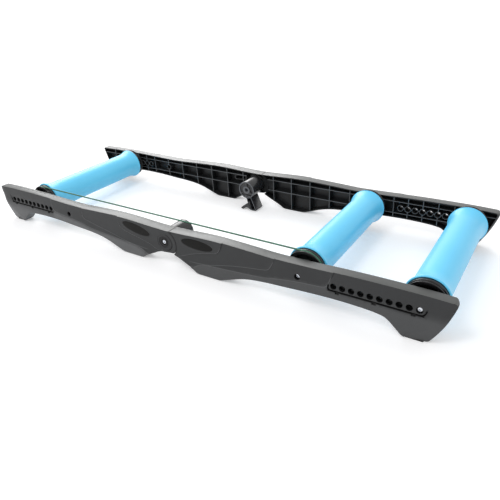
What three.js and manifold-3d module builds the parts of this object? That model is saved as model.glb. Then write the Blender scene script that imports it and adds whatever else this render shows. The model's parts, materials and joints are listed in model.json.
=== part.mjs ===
// Folding bike rollers: two moulded side rails, each of two halves that meet at a middle hinge,
// three flared drums on ball bearings, and a round belt that drives the front drum from the
// middle drum. Millimetres. +X runs from the front drum to the rear pair, +Z is up, and the
// origin is on the floor, midway between the rail tips and midway between the rails.
// The near side, which carries the belt, is at negative Y. A station is a distance along a
// rail half, measured from the middle of the part towards that half's tip.

import * as THREE from 'three';
import { mergeVertices } from 'three/addons/utils/BufferGeometryUtils.js';
import Module from 'manifold-3d';

const wasm = await Module();
wasm.setup();

// Fits shared by every piece
const gap = 0.3;
const cutOver = 4;

// Rails: overall
const halfLength = 710;
const frameWidth = 480;
const railDepth = 31;
const railHeight = 108.5;
const wall = 3;

// Rails: feet, arch and pads
const padThickness = 2;
const padSunk = 1.2;
const padInset = 4;
const midFootInner = 92;
const midFootLength = 72;
const endFootLength = 46;
const archHeight = 42;

// Rails: tips, which rake outwards and are rounded inside and bevelled outside
const tipRake = 49;
const tipRadius = 12;
const tipBevelRun = 11;
const tipBevelDepth = 4;

// Rails: axle holes
const axleHeight = 72.5;
const holePitch = 20;
const holeCount = 10;
const rowInset = 68;
const singleStation = 377;
const bossDiameter = 18;
const counterboreDiameter = 13.5;
const counterboreDepth = 13.5;
const frontHoleIndex = 4;
const rearHoleIndex = 9;

// Rails: ribs inside
const ribThickness = 2.2;
const ribSpread = 34;
const ribSetback = 1;
const ribPitch = 64;
const innerRibCount = 6;
const rowRibCount = 4;
const ribHoleCount = 3;

// Rails: outer face, which leans in above the skirt and is stepped where each lap ends
const skirtHeight = 45;
const lean = 5;
const lapStep = 2.5;
const rowStep = 1;

// Rails: badge plates
const badgeLength = 96;
const badgeHeight = 26;
const badgeThickness = 1.7;
const badgeProud = 0.4;
const badgeStation = 102;
const badgeLevel = 86;
const frontBadgeTilt = THREE.MathUtils.degToRad(9);
const rearBadgeTilt = THREE.MathUtils.degToRad(-1);

// Hinge between the halves
const hingeStation = -7;
const hingeHeight = 68;
const knuckleRise = 6;
const knuckleGap = 0.5;
const hookAngle = THREE.MathUtils.degToRad(-46);
const hookLap = THREE.MathUtils.degToRad(7);
const chinRun = 19;
const chinStep = 5.2;
const earRadius = 29;
const earSetback = 3;
const earClearance = 1.5;
const neckHeight = 40;
const neckLength = 24;
const roomLength = 13;
const dishDiameter = 33;
const dishDepth = 1.2;

// Hinge bolt and nut
const hingeBoltDiameter = 8;
const hingeHeadDiameter = 11;
const hingeHeadHeight = 3.5;
const hingeRecessDiameter = 15;
const hingeRecessDepth = 5.5;
const nutDiameter = 12;
const nutLength = 8;
const nutDepth = 5;

// Lock lever: a barrel on the hinge bolt, with a hollow leg and toe below its inner end
const barrelDiameter = 55;
const barrelLength = 61.7;
const barrelWall = 3.5;
const barrelDish = 4;
const barrelWeb = 4;
const barrelBoss = 24;
const barrelTube = 17;
const spokeWidth = 6;
const spokeCount = 3;
const legWidth = 40;
const legWall = 3;
const legReach = 33;
const toeWidth = 24;
const soleClearance = 1.5;

// Drums
const drumEndDiameter = 97;
const drumMiddleDiameter = 82.6;
const drumWall = 3.7;
const flareLength = 46;

// End caps, with a belt groove, which stand clear of the rails
const capClearance = 9;
const plugDepth = 6;
const capLength = 16;
const capWall = 3;
const capPocketDepth = 10;
const beltInset = 6;
const grooveFloorWidth = 3;
const grooveMouthWidth = 7;

// Bearings, axles, spacers and axle bolts
const bearingDiameter = 32;
const bearingWidth = 10;
const bearingInset = 2;
const axleDiameter = 12;
const spacerDiameter = 17;
const boltDiameter = 8;
const boltHeadDiameter = 10.5;
const boltHeadHeight = 6;
const boltReach = 20;
const socketSize = 5;
const socketDepth = 3;

// Belt
const beltDiameter = 4;
const beltClearance = 0.6;

// Facets round each kind of piece
const drumFacets = 24;
const barrelFacets = 16;
const knuckleFacets = 36;
const turningFacets = 10;
const boltFacets = 6;
const counterboreFacets = 8;
const bossFacets = 6;
const badgeFacets = 20;
const socketFacets = 6;
const flareSteps = 3;
const beltSides = 8;
const beltTurnSteps = 12;
const tipSteps = 4;
const topSteps = 13;
const archSteps = 11;

// Worked out from the sizes above
const faceY = frameWidth / 2;
const innerY = faceY - railDepth;
const floorY = faceY - lean - wall;
const railBottom = padThickness - padSunk;
const midFootOuter = midFootInner + midFootLength;
const endFootOuter = halfLength - tipRake;
const endFootInner = endFootOuter - endFootLength;
const rowStart = halfLength - rowInset - (holeCount - 1) * holePitch;
const rowStation = (index) => rowStart + index * holePitch;
const counterboreY = faceY - counterboreDepth;
const capEnd = innerY - capClearance;
const drumEnd = capEnd - capLength;
const capRadius = drumEndDiameter / 2 - drumWall - gap;
const bearingEnd = capEnd - bearingInset;
const bearingStart = bearingEnd - bearingWidth;
const axleEnd = innerY - gap;
const beltY = capEnd - beltInset;
const beltRadius = capRadius - beltDiameter / 2;
const grooveRadius = beltRadius - beltDiameter / 2 - beltClearance;
const earY = innerY + earSetback;
const barrelEnd = earY - gap;
const barrelStart = barrelEnd - barrelLength;
const legEnd = barrelStart + legWidth;

// Colour, roughness and metalness of each material
const finishes = {
  rail: { color: 0x45474a, roughness: 0.55, metalness: 0 },
  badge: { color: 0x17160f, roughness: 0.4, metalness: 0 },
  drum: { color: 0x5cc4f4, roughness: 0.35, metalness: 0 },
  black: { color: 0x151516, roughness: 0.4, metalness: 0 },
  rubber: { color: 0x1b1b1c, roughness: 0.85, metalness: 0 },
  belt: { color: 0x3c6b57, roughness: 0.6, metalness: 0 },
  steel: { color: 0xb9bcc0, roughness: 0.3, metalness: 1 },
};

// Closed geometries, and solids that can be joined and cut

function closed(geometry) {
  const bare = geometry.clone();
  bare.deleteAttribute('normal');
  bare.deleteAttribute('uv');
  return mergeVertices(bare);
}

function signedVolume(geometry) {
  const place = geometry.attributes.position;
  const corners = [new THREE.Vector3(), new THREE.Vector3(), new THREE.Vector3()];
  let volume = 0;
  for (let i = 0; i < geometry.index.count; i += 3) {
    corners.forEach((corner, k) => corner.fromBufferAttribute(place, geometry.index.getX(i + k)));
    volume += corners[0].dot(corners[1].cross(corners[2])) / 6;
  }
  return volume;
}

function facingOut(geometry) {
  const shape = closed(geometry);
  if (signedVolume(shape) < 0) {
    const order = shape.index.array;
    for (let i = 0; i < order.length; i += 3) {
      [order[i], order[i + 1]] = [order[i + 1], order[i]];
    }
  }
  return shape;
}

function solid(geometry) {
  const shape = facingOut(geometry);
  return new wasm.Manifold(new wasm.Mesh({
    numProp: 3,
    vertProperties: new Float32Array(shape.attributes.position.array),
    triVerts: new Uint32Array(shape.index.array),
  }));
}

function geometryOf(body) {
  const mesh = body.getMesh();
  const places = new Float32Array(mesh.vertProperties);
  const geometry = new THREE.BufferGeometry();
  geometry.setAttribute('position', new THREE.BufferAttribute(places, 3));
  geometry.setIndex(new THREE.BufferAttribute(new Uint32Array(mesh.triVerts), 1));
  return geometry;
}

function joined(bodies) {
  return bodies.reduce((sum, body) => sum.add(body));
}

function mirrored(geometry, alongX, alongY) {
  return facingOut(geometry.clone().scale(alongX, alongY, 1));
}

// An outline in X and Z that runs from one Y to another
function slab(shape, fromY, toY, curveSegments = turningFacets) {
  const depth = toY - fromY;
  const geometry = new THREE.ExtrudeGeometry(shape, { depth, bevelEnabled: false, curveSegments });
  geometry.rotateX(Math.PI / 2);
  return geometry.translate(0, toY, 0);
}

function cylinder(radius, fromY, toY, x, z, facets) {
  const geometry = new THREE.CylinderGeometry(radius, radius, toY - fromY, facets);
  return geometry.translate(x, (fromY + toY) / 2, z);
}

function box(fromX, toX, fromY, toY, fromZ, toZ) {
  const geometry = new THREE.BoxGeometry(toX - fromX, toY - fromY, toZ - fromZ);
  return geometry.translate((fromX + toX) / 2, (fromY + toY) / 2, (fromZ + toZ) / 2);
}

// A closed profile of radius and Y, turned round the Y axis
function turned(profile, facets) {
  const loop = [...profile, profile[0]].map(([radius, y]) => new THREE.Vector2(radius, y));
  return facingOut(new THREE.LatheGeometry(loop, facets));
}

function ring(innerRadius, outerRadius, fromY, toY, facets) {
  const profile = [[innerRadius, fromY], [outerRadius, fromY], [outerRadius, toY], [innerRadius, toY]];
  return turned(profile, facets);
}

function shapeOf(points) {
  return new THREE.Shape(points.map(([x, z]) => new THREE.Vector2(x, z)));
}

function arc(centreX, centreZ, radius, fromAngle, toAngle, steps) {
  return Array.from({ length: steps + 1 }, (unused, i) => {
    const angle = fromAngle + ((toAngle - fromAngle) * i) / steps;
    return [centreX + radius * Math.cos(angle), centreZ + radius * Math.sin(angle)];
  });
}

function smooth(points, steps) {
  const curve = new THREE.SplineCurve(points.map(([x, z]) => new THREE.Vector2(x, z)));
  return curve.getPoints(steps).map((point) => [point.x, point.y]);
}

// Moves every side of an outline inwards by one distance
function inset(points, distance) {
  const count = points.length;
  const turning = points.reduce((sum, [x, z], i) => {
    const [nextX, nextZ] = points[(i + 1) % count];
    return sum + x * nextZ - nextX * z;
  }, 0);
  return points.map(([x, z], i) => {
    const [lastX, lastZ] = points[(i + count - 1) % count];
    const [nextX, nextZ] = points[(i + 1) % count];
    const before = new THREE.Vector2(lastZ - z, x - lastX).normalize();
    const after = new THREE.Vector2(z - nextZ, nextX - x).normalize();
    const inward = before.clone().add(after).normalize();
    const reach = (Math.sign(turning) * distance) / inward.dot(before);
    return [x + inward.x * reach, z + inward.y * reach];
  });
}

// Rail outline. The top edge is in shares of the half length and the rail height, the flank
// from the hinge to the middle foot in shares of its run and rise, and the arch between the
// feet in shares of its span and height.
const topShares = [
  [0, 0.949], [0.071, 0.963], [0.141, 0.986], [0.212, 1], [0.283, 0.991], [0.376, 0.968],
  [0.453, 0.948], [0.566, 0.957], [0.655, 0.977], [0.764, 0.991], [0.901, 0.991], [0.99, 0.972],
];
const flankShares = [[0.29, 0.72], [0.545, 0.5], [0.77, 0.3], [0.915, 0.14]];
const archShares = [
  [0.07, 0.27], [0.13, 0.5], [0.2, 0.68], [0.3, 0.8], [0.4, 0.86], [0.5, 0.93],
  [0.61, 0.985], [0.72, 1], [0.84, 0.95], [0.905, 0.85],
];
const archHeelShare = [0.02, 0.08];
const archShoulderShare = [0.93, 0.72];
const tipBulgeShare = 0.45;
const topLevel = topShares[0][1] * railHeight;

function topEdge(fromX) {
  const points = smooth(topShares.map(([x, z]) => [x * halfLength, z * railHeight]), topSteps);
  return points.filter(([x]) => x > fromX + wall).reverse();
}

function lowerEdge([startX, startZ]) {
  const onFlank = ([x, z]) => [
    startX + x * (midFootInner - startX),
    railBottom + z * (startZ - railBottom),
  ];
  const onArch = ([x, z]) => [
    midFootOuter + x * (endFootInner - midFootOuter),
    railBottom + z * archHeight,
  ];
  return [
    ...flankShares.map(onFlank),
    [midFootInner, railBottom],
    [midFootOuter, railBottom],
    onArch(archHeelShare),
    ...smooth(archShares.map(onArch), archSteps),
    onArch(archShoulderShare),
    [endFootInner, railBottom],
  ];
}

const tipLevelStep = (topLevel - railBottom) / tipSteps;

function tipAt(z) {
  const share = (z - railBottom) / (topLevel - railBottom);
  return endFootOuter + tipRake * share * (1 + tipBulgeShare * (1 - share));
}

function tipEdge() {
  return Array.from({ length: tipSteps + 1 }, (unused, i) => {
    const z = railBottom + i * tipLevelStep;
    return [tipAt(z), z];
  });
}

// The front half's knuckle and the rear half's seat for it are two circles that would rise a
// little above the top edge
const knuckleRadius = topLevel - hingeHeight + knuckleRise;
const seatRadius = knuckleRadius + knuckleGap;

// The rear half ends at the hinge in a hollow round seat with a hook under it
const seatAngle = Math.asin((topLevel - hingeHeight) / seatRadius);
const rearHingeX = hingeStation;

function rearOutline() {
  const steps = Math.round((knuckleFacets * (seatAngle - hookAngle)) / (2 * Math.PI));
  const seat = arc(rearHingeX, hingeHeight, seatRadius, seatAngle, hookAngle, steps);
  return [...seat, ...lowerEdge(seat[steps]), ...tipEdge(), ...topEdge(seat[0][0])];
}

// The front half ends in a round knuckle, cut off below by a straight chin
const seamAngle = Math.asin((topLevel - hingeHeight) / knuckleRadius);
const frontHingeX = -hingeStation;

function frontOutline() {
  const fromAngle = Math.PI - seamAngle;
  const toAngle = Math.PI - hookAngle - hookLap;
  const steps = Math.round((knuckleFacets * (toAngle - fromAngle)) / (2 * Math.PI));
  const knuckle = arc(frontHingeX, hingeHeight, knuckleRadius, fromAngle, toAngle, steps);
  const chin = [frontHingeX + chinRun, knuckle[steps][1] - chinStep];
  return [...knuckle, chin, ...lowerEdge(chin), ...tipEdge(), ...topEdge(knuckle[0][0])];
}

// Outer face of a rail. Each lap is an outline in shares of the half length and rail height.
const rearPanelShares = [
  [-0.1, 0.3], [0.031, 0.35], [0.109, 0.488], [0.2, 0.645], [0.229, 0.73], [0.242, 0.85],
  [0.243, 1.2], [-0.1, 1.2],
];
const rearLapShares = [
  [-0.1, 0.05], [0.102, 0.143], [0.281, 0.488], [0.362, 0.6], [0.431, 0.67], [0.447, 0.857],
  [0.452, 1.2], [-0.1, 1.2],
];
const frontPanelShares = [
  [-0.1, 0.33], [0.039, 0.378], [0.082, 0.47], [0.131, 0.544], [0.207, 0.645], [0.232, 0.728],
  [0.237, 0.903], [0.237, 1.2], [-0.1, 1.2],
];
const frontLapShares = [
  [-0.1, 0.05], [0.117, 0.157], [0.242, 0.415], [0.32, 0.56], [0.403, 0.645], [0.44, 0.737],
  [0.441, 1.2], [-0.1, 1.2],
];
const rowShares = [
  [0.64, 0.553], [0.908, 0.525], [0.926, 0.68], [0.93, 1.2], [0.652, 1.2], [0.645, 0.848],
  [0.634, 0.65],
];

function lap(shares, toY) {
  const shape = shapeOf(shares.map(([x, z]) => [x * halfLength, z * railHeight]));
  return solid(slab(shape, innerY, toY));
}

// What the lean spares: the badge's panel, and a lap beyond it that is set back by one step
function laps(panelShares, lapShares) {
  return [lap(panelShares, faceY + cutOver), lap(lapShares, faceY - lapStep)];
}

function leanAt(z) {
  return (lean * Math.max(z - skirtHeight, 0)) / (railHeight - skirtHeight);
}

// What lies outside the leaning face, or outside the same face set back further
function outsideFace(setback) {
  const top = railHeight + cutOver;
  const shape = shapeOf([
    [faceY - setback, skirtHeight],
    [faceY + cutOver, skirtHeight],
    [faceY + cutOver, top],
    [faceY - setback - leanAt(top), top],
  ]);
  const depth = halfLength * 2;
  const geometry = new THREE.ExtrudeGeometry(shape, { depth, bevelEnabled: false });
  geometry.rotateX(Math.PI / 2).rotateZ(Math.PI / 2);
  return solid(geometry.translate(-depth / 2, 0, 0));
}

// A plan shape, its X measured from the raked tip, that follows the tip from foot to top
function alongTip(shape) {
  const steps = tipSteps + 2;
  const depth = steps * tipLevelStep;
  const geometry = new THREE.ExtrudeGeometry(shape, { depth, steps, bevelEnabled: false });
  geometry.translate(0, 0, railBottom - tipLevelStep);
  const place = geometry.attributes.position;
  for (let i = 0; i < place.count; i += 1) {
    const z = place.getZ(i);
    place.setX(i, place.getX(i) + tipAt(z));
    place.setY(i, place.getY(i) - leanAt(z));
  }
  return solid(geometry);
}

function tipBevel() {
  return alongTip(shapeOf([
    [-tipBevelRun, faceY],
    [cutOver, faceY - tipBevelDepth * (1 + cutOver / tipBevelRun)],
    [cutOver, faceY + cutOver],
    [-tipBevelRun, faceY + cutOver],
  ]));
}

// What lies outside a corner rounded to one radius, at the inner edge of the tip
function tipCorner(radius) {
  const centreX = -tipRadius;
  const centreY = innerY + lean + tipRadius;
  const corner = arc(centreX, centreY, radius, -Math.PI / 2, 0, tipSteps);
  return alongTip(shapeOf([
    [centreX, innerY - lean],
    ...corner,
    [cutOver, centreY],
    [cutOver, innerY - lean],
  ]));
}

// Ribs and bosses inside a rail

function uprightRib(station) {
  const half = ribThickness / 2;
  return solid(box(station - half, station + half, innerY + ribSetback, faceY, 0, railHeight));
}

function longRib(level) {
  const half = ribThickness / 2;
  return solid(box(0, halfLength, innerY + ribSetback, faceY, level - half, level + half));
}

const holeStations = [
  singleStation,
  ...Array.from({ length: holeCount }, (unused, i) => rowStation(i)),
];

const ribStations = [
  ...Array.from({ length: innerRibCount }, (unused, i) => singleStation - i * ribPitch),
  ...Array.from({ length: rowRibCount }, (unused, i) => rowStation(i * ribHoleCount)),
];

function ribbing(outline) {
  const ribs = [
    ...ribStations.map(uprightRib),
    longRib(axleHeight - ribSpread / 2),
    longRib(axleHeight + ribSpread / 2),
  ];
  const within = solid(slab(shapeOf(inset(outline, wall / 2)), innerY, floorY + wall / 2));
  return joined(ribs).intersect(within);
}

function bosses() {
  const radius = bossDiameter / 2;
  return joined(holeStations.map((station) => (
    solid(cylinder(radius, innerY, floorY + wall / 2, station, axleHeight, bossFacets))
  )));
}

function holes() {
  const bore = boltDiameter / 2 + gap;
  const wide = counterboreDiameter / 2;
  return joined(holeStations.flatMap((station) => [
    solid(cylinder(bore, innerY - cutOver, faceY, station, axleHeight, boltFacets)),
    solid(cylinder(wide, counterboreY, faceY + cutOver, station, axleHeight, counterboreFacets)),
  ]));
}

// Feet of a rail half, and the pockets that hold their pads
const feet = [
  { name: 'middle', station: midFootInner + midFootLength / 2, length: midFootLength },
  { name: 'end', station: endFootInner + endFootLength / 2, length: endFootLength },
];

function footPad(length, spare) {
  const width = railDepth - 2 * padInset + 2 * spare;
  return closed(new THREE.BoxGeometry(length - 2 * padInset + 2 * spare, width, padThickness));
}

function padPockets() {
  const z = padThickness / 2 + gap;
  return joined(feet.map((foot) => (
    solid(footPad(foot.length, gap).translate(foot.station, faceY - railDepth / 2, z))
  )));
}

// Badge plates, and the recesses that hold them

function ellipseShape(length, height, facets) {
  return shapeOf(arc(0, 0, 1, 0, 2 * Math.PI, facets).slice(1).map(([x, z]) => (
    [(x * length) / 2, (z * height) / 2]
  )));
}

function badgeRecess(tilt) {
  const shape = ellipseShape(badgeLength + 2 * gap, badgeHeight + 2 * gap, badgeFacets);
  const depth = badgeThickness - badgeProud + gap;
  const geometry = slab(shape, faceY - depth, faceY + cutOver);
  return solid(geometry.rotateY(-tilt).translate(badgeStation, 0, badgeLevel));
}

function badgePlate() {
  const back = faceY + badgeProud - badgeThickness;
  return facingOut(slab(ellipseShape(badgeLength, badgeHeight, badgeFacets), back, faceY + badgeProud));
}

// A rail half, laid out with its tip along +X and its outer face towards +Y
function railShell(outline, spared, tilt) {
  const body = solid(slab(shapeOf(outline), innerY, faceY));
  const face = spared.reduce((cut, kept) => cut.subtract(kept), outsideFace(0));
  const row = outsideFace(rowStep).intersect(lap(rowShares, faceY + cutOver));
  const outer = body.subtract(joined([face, row, tipBevel(), tipCorner(tipRadius)]));
  const room = solid(slab(shapeOf(inset(outline, wall)), innerY - cutOver, floorY));
  const hollow = room.subtract(tipCorner(tipRadius - wall));
  const ribbed = outer.subtract(hollow).add(ribbing(outline)).add(bosses());
  return ribbed.subtract(joined([holes(), badgeRecess(tilt), padPockets()]));
}

function rearRail() {
  const shell = railShell(rearOutline(), laps(rearPanelShares, rearLapShares), rearBadgeTilt);
  const x = rearHingeX;
  const z = hingeHeight;
  const neckEnd = x + seatRadius + neckLength;
  const backY = floorY + wall / 2;
  const half = neckHeight / 2;
  const bore = hingeBoltDiameter / 2 + gap;
  const ear = joined([
    solid(cylinder(earRadius, earY, floorY - gap, x, z, knuckleFacets / 2)),
    solid(box(x, neckEnd, earY, backY, z - half, z + half)),
  ]);
  const room = joined([
    solid(cylinder(seatRadius, floorY - gap, backY, x, z, knuckleFacets)),
    solid(cylinder(bore, innerY, faceY, x, z, turningFacets)),
  ]);
  return geometryOf(shell.add(ear.subtract(room)));
}

function frontRail() {
  const shell = railShell(frontOutline(), laps(frontPanelShares, frontLapShares), frontBadgeTilt);
  const x = frontHingeX;
  const z = hingeHeight;
  const bore = hingeBoltDiameter / 2 + gap;
  const fromY = innerY - cutOver;
  const outY = faceY + cutOver;
  const recessY = faceY - hingeRecessDepth;
  const room = joined([
    solid(cylinder(earRadius + earClearance, fromY, floorY, x, z, knuckleFacets / 2)),
    solid(box(x - seatRadius, x + roomLength, fromY, floorY, z - seatRadius, topLevel - wall)),
    solid(cylinder(bore, fromY, outY, x, z, turningFacets)),
    solid(cylinder(hingeRecessDiameter / 2, recessY, outY, x, z, turningFacets)),
    solid(cylinder(dishDiameter / 2, faceY - dishDepth, outY, x, z, barrelFacets)),
  ]);
  return geometryOf(shell.subtract(room));
}

// Hinge bolt, nut and lock lever, each laid out on the Y axis and running towards +Y

function hingeBolt() {
  const headStart = faceY - hingeRecessDepth + gap;
  const headEnd = headStart + hingeHeadHeight;
  const tail = barrelStart + nutDepth;
  const shank = cylinder(hingeBoltDiameter / 2, tail, headStart + gap, 0, 0, turningFacets);
  const head = cylinder(hingeHeadDiameter / 2, headStart, headEnd, 0, 0, turningFacets);
  const socket = cylinder(socketSize / 2, headEnd - socketDepth, headEnd + cutOver, 0, 0, socketFacets);
  return geometryOf(solid(shank).add(solid(head)).subtract(solid(socket)));
}

function hingeNut() {
  const start = barrelStart + nutDepth;
  const bore = hingeBoltDiameter / 2 + gap;
  return ring(bore, nutDiameter / 2, start, start + nutLength, turningFacets);
}

function barrel() {
  const outer = barrelDiameter / 2;
  const inner = outer - barrelWall;
  const webStart = barrelStart + barrelDish;
  const webEnd = webStart + barrelWeb;
  const pocket = nutDiameter / 2 + gap;
  const pocketEnd = barrelStart + nutDepth + nutLength + gap;
  return solid(turned([
    [pocket, barrelStart], [barrelBoss / 2, barrelStart], [barrelBoss / 2, webStart],
    [inner, webStart], [inner, barrelStart], [outer, barrelStart], [outer, barrelEnd],
    [inner, barrelEnd], [inner, webEnd], [barrelTube / 2, webEnd], [barrelTube / 2, barrelEnd],
    [hingeBoltDiameter / 2 + gap, barrelEnd], [hingeBoltDiameter / 2 + gap, pocketEnd],
    [pocket, pocketEnd],
  ], barrelFacets));
}

function spoke(index) {
  const outer = barrelDiameter / 2 - barrelWall / 2;
  const inner = nutDiameter / 2 + barrelWall;
  const half = spokeWidth / 2;
  const webStart = barrelStart + barrelDish;
  const arm = box(-half, half, barrelStart + gap, webStart + gap, inner, outer);
  return solid(arm.rotateY((2 * Math.PI * index) / spokeCount));
}

// The leg and the toe in front of it, in shares of the leg's reach and of the hinge's height
// above the sole
const legShares = [
  [0.45, -0.29], [1, -0.96], [0.5, -1], [0.1, -0.657], [-0.06, -0.4], [-0.2, -0.29],
];
const toeShares = [
  [0.32, -0.52], [0.53, -1], [0.35, -0.975], [0.05, -0.89], [-0.25, -0.92], [-0.45, -1],
  [-0.62, -1], [-0.75, -0.95], [0.08, -0.657],
];

function legPlaces(shares) {
  return shares.map(([x, z]) => [x * legReach, z * (hingeHeight - soleClearance)]);
}

function leg() {
  const outline = legPlaces(legShares);
  const body = solid(slab(shapeOf(outline), barrelStart, legEnd));
  const roomShape = shapeOf(inset(outline, legWall));
  const room = solid(slab(roomShape, barrelStart - cutOver, legEnd - legWall));
  const toe = solid(slab(shapeOf(legPlaces(toeShares)), barrelStart, barrelStart + toeWidth));
  const inBarrel = cylinder(barrelDiameter / 2 - barrelWall / 2, 0, faceY, 0, 0, barrelFacets);
  return body.subtract(room).add(toe).subtract(solid(inBarrel));
}

function lockLever() {
  const spokes = Array.from({ length: spokeCount }, (unused, i) => spoke(i));
  return geometryOf(joined([barrel(), ...spokes, leg()]));
}

// Drums and what carries them, each laid out on the Y axis

function drumFlare() {
  const end = drumEndDiameter / 2;
  const waist = drumMiddleDiameter / 2;
  return Array.from({ length: flareSteps + 1 }, (unused, i) => {
    const share = i / flareSteps;
    return [waist + (end - waist) * share ** 2, drumEnd - flareLength * (1 - share)];
  });
}

// The drum's end is bored out to a socket for the cap's plug
function drumInside(flare) {
  const [mouth, before] = [flare[flareSteps], flare[flareSteps - 1]];
  const floor = drumEnd - plugDepth - gap;
  const share = (floor - before[1]) / (mouth[1] - before[1]);
  const rim = before[0] + (mouth[0] - before[0]) * share;
  const socket = capRadius + gap;
  const narrowed = flare.slice(0, -1).map(([radius, y]) => [radius - drumWall, y]);
  return [...narrowed, [rim - drumWall, floor], [socket, floor], [socket, drumEnd]];
}

function drum() {
  const flare = drumFlare();
  const inside = drumInside(flare);
  const otherEnd = (half) => half.map(([radius, y]) => [radius, -y]);
  return turned([
    ...otherEnd(flare).reverse(),
    ...flare,
    ...inside.reverse(),
    ...otherEnd(inside).reverse(),
  ], drumFacets);
}

function endCap() {
  const bore = bearingDiameter / 2 + gap;
  const hub = bore + capWall;
  const plugStart = drumEnd - plugDepth;
  const pocketFloor = capEnd - capPocketDepth;
  const lip = axleDiameter / 2 + capWall;
  const webStart = bearingStart - gap - capWall;
  const groove = grooveRadius;
  const pocketRim = groove - capWall;
  return turned([
    [bore, capEnd], [hub, capEnd], [hub, pocketFloor], [pocketRim, pocketFloor],
    [pocketRim, capEnd], [capRadius, capEnd], [capRadius, beltY + grooveMouthWidth / 2],
    [groove, beltY + grooveFloorWidth / 2], [groove, beltY - grooveFloorWidth / 2],
    [capRadius, beltY - grooveMouthWidth / 2], [capRadius, plugStart],
    [capRadius - capWall, plugStart], [capRadius - capWall, webStart], [lip, webStart],
    [lip, bearingStart - gap], [bore, bearingStart - gap],
  ], drumFacets);
}

function bearing() {
  const bore = axleDiameter / 2 + gap;
  return ring(bore, bearingDiameter / 2, bearingStart, bearingEnd, drumFacets);
}

function spacer() {
  return ring(axleDiameter / 2 + gap, spacerDiameter / 2, bearingEnd + gap, axleEnd, turningFacets);
}

function axle() {
  const rod = solid(cylinder(axleDiameter / 2, -axleEnd, axleEnd, 0, 0, turningFacets));
  const bore = boltDiameter / 2 + gap;
  const start = axleEnd - boltReach - gap;
  const ends = [
    solid(cylinder(bore, start, axleEnd + cutOver, 0, 0, boltFacets)),
    solid(cylinder(bore, -axleEnd - cutOver, -start, 0, 0, boltFacets)),
  ];
  return geometryOf(rod.subtract(joined(ends)));
}

function axleBolt() {
  const headStart = counterboreY + gap;
  const headEnd = headStart + boltHeadHeight;
  const shank = cylinder(boltDiameter / 2, axleEnd - boltReach, headStart + gap, 0, 0, boltFacets);
  const head = cylinder(boltHeadDiameter / 2, headStart, headEnd, 0, 0, counterboreFacets);
  const socket = cylinder(socketSize / 2, headEnd - socketDepth, headEnd + cutOver, 0, 0, socketFacets);
  return geometryOf(solid(shank).add(solid(head)).subtract(solid(socket)));
}

// Drive belt: a round cord in one closed loop round two drums on the same Y

function beltRing(x, angle) {
  const radius = beltDiameter / 2;
  return Array.from({ length: beltSides }, (unused, i) => {
    const around = (2 * Math.PI * i) / beltSides;
    const reach = beltRadius + radius * Math.cos(around);
    return [x + reach * Math.cos(angle), radius * Math.sin(around), reach * Math.sin(angle)];
  });
}

function beltTurn(x, fromAngle) {
  return Array.from({ length: beltTurnSteps + 1 }, (unused, i) => (
    beltRing(x, fromAngle + (Math.PI * i) / beltTurnSteps)
  ));
}

function driveBelt(frontX, middleX) {
  const rings = [...beltTurn(middleX, -Math.PI / 2), ...beltTurn(frontX, Math.PI / 2)];
  const index = [];
  rings.forEach((unused, i) => {
    const here = i * beltSides;
    const next = ((i + 1) % rings.length) * beltSides;
    for (let k = 0; k < beltSides; k += 1) {
      const m = (k + 1) % beltSides;
      index.push(here + k, next + k, next + m, here + k, next + m, here + m);
    }
  });
  const geometry = new THREE.BufferGeometry();
  geometry.setAttribute('position', new THREE.Float32BufferAttribute(rings.flat(2), 3));
  geometry.setIndex(index);
  return facingOut(geometry);
}

// The assembly

function piece(name, geometry, finish, x, y, z) {
  const mesh = new THREE.Mesh(geometry, new THREE.MeshStandardMaterial(finish));
  mesh.name = name;
  mesh.position.set(x, y, z);
  return mesh;
}

const sides = [
  { name: 'near', sign: -1 },
  { name: 'far', sign: 1 },
];

function drumSet(name, x) {
  const set = new THREE.Group();
  set.position.set(x, 0, axleHeight);
  set.add(piece(`${name}_drum`, drum(), finishes.drum, 0, 0, 0));
  set.add(piece(`${name}_axle`, axle(), finishes.steel, 0, 0, 0));
  const pairs = [
    ['drum', 'cap', endCap(), finishes.black],
    ['drum', 'bearing', bearing(), finishes.steel],
    ['axle', 'spacer', spacer(), finishes.black],
    ['axle', 'bolt', axleBolt(), finishes.steel],
  ];
  sides.forEach((side) => {
    pairs.forEach(([owner, kind, geometry, finish]) => {
      const sided = mirrored(geometry, 1, side.sign);
      set.add(piece(`${name}_${owner}_${side.name}_${kind}`, sided, finish, 0, 0, 0));
    });
  });
  return set;
}

const halves = [
  { name: 'front', sign: -1, rail: frontRail(), tilt: frontBadgeTilt },
  { name: 'rear', sign: 1, rail: rearRail(), tilt: rearBadgeTilt },
];

function railSet(half, side) {
  const set = new THREE.Group();
  const tag = `${side.name}_${half.name}`;
  set.add(piece(`${tag}_rail`, mirrored(half.rail, half.sign, side.sign), finishes.rail, 0, 0, 0));
  const plate = mirrored(badgePlate(), half.sign, side.sign);
  const badge = piece(`${tag}_badge`, plate, finishes.badge, half.sign * badgeStation, 0, badgeLevel);
  badge.rotation.y = -half.sign * half.tilt;
  set.add(badge);
  feet.forEach((foot) => {
    const x = half.sign * foot.station;
    const y = side.sign * (faceY - railDepth / 2);
    const pad = footPad(foot.length, 0);
    set.add(piece(`${tag}_${foot.name}_pad`, pad, finishes.rubber, x, y, padThickness / 2));
  });
  return set;
}

function hingeSet(side) {
  const set = new THREE.Group();
  set.position.set(hingeStation, 0, hingeHeight);
  const parts = [
    ['hinge_bolt', hingeBolt(), finishes.steel],
    ['hinge_nut', hingeNut(), finishes.steel],
    ['lock_lever', lockLever(), finishes.black],
  ];
  parts.forEach(([name, geometry, finish]) => {
    set.add(piece(`${side.name}_${name}`, mirrored(geometry, 1, side.sign), finish, 0, 0, 0));
  });
  return set;
}

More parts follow.
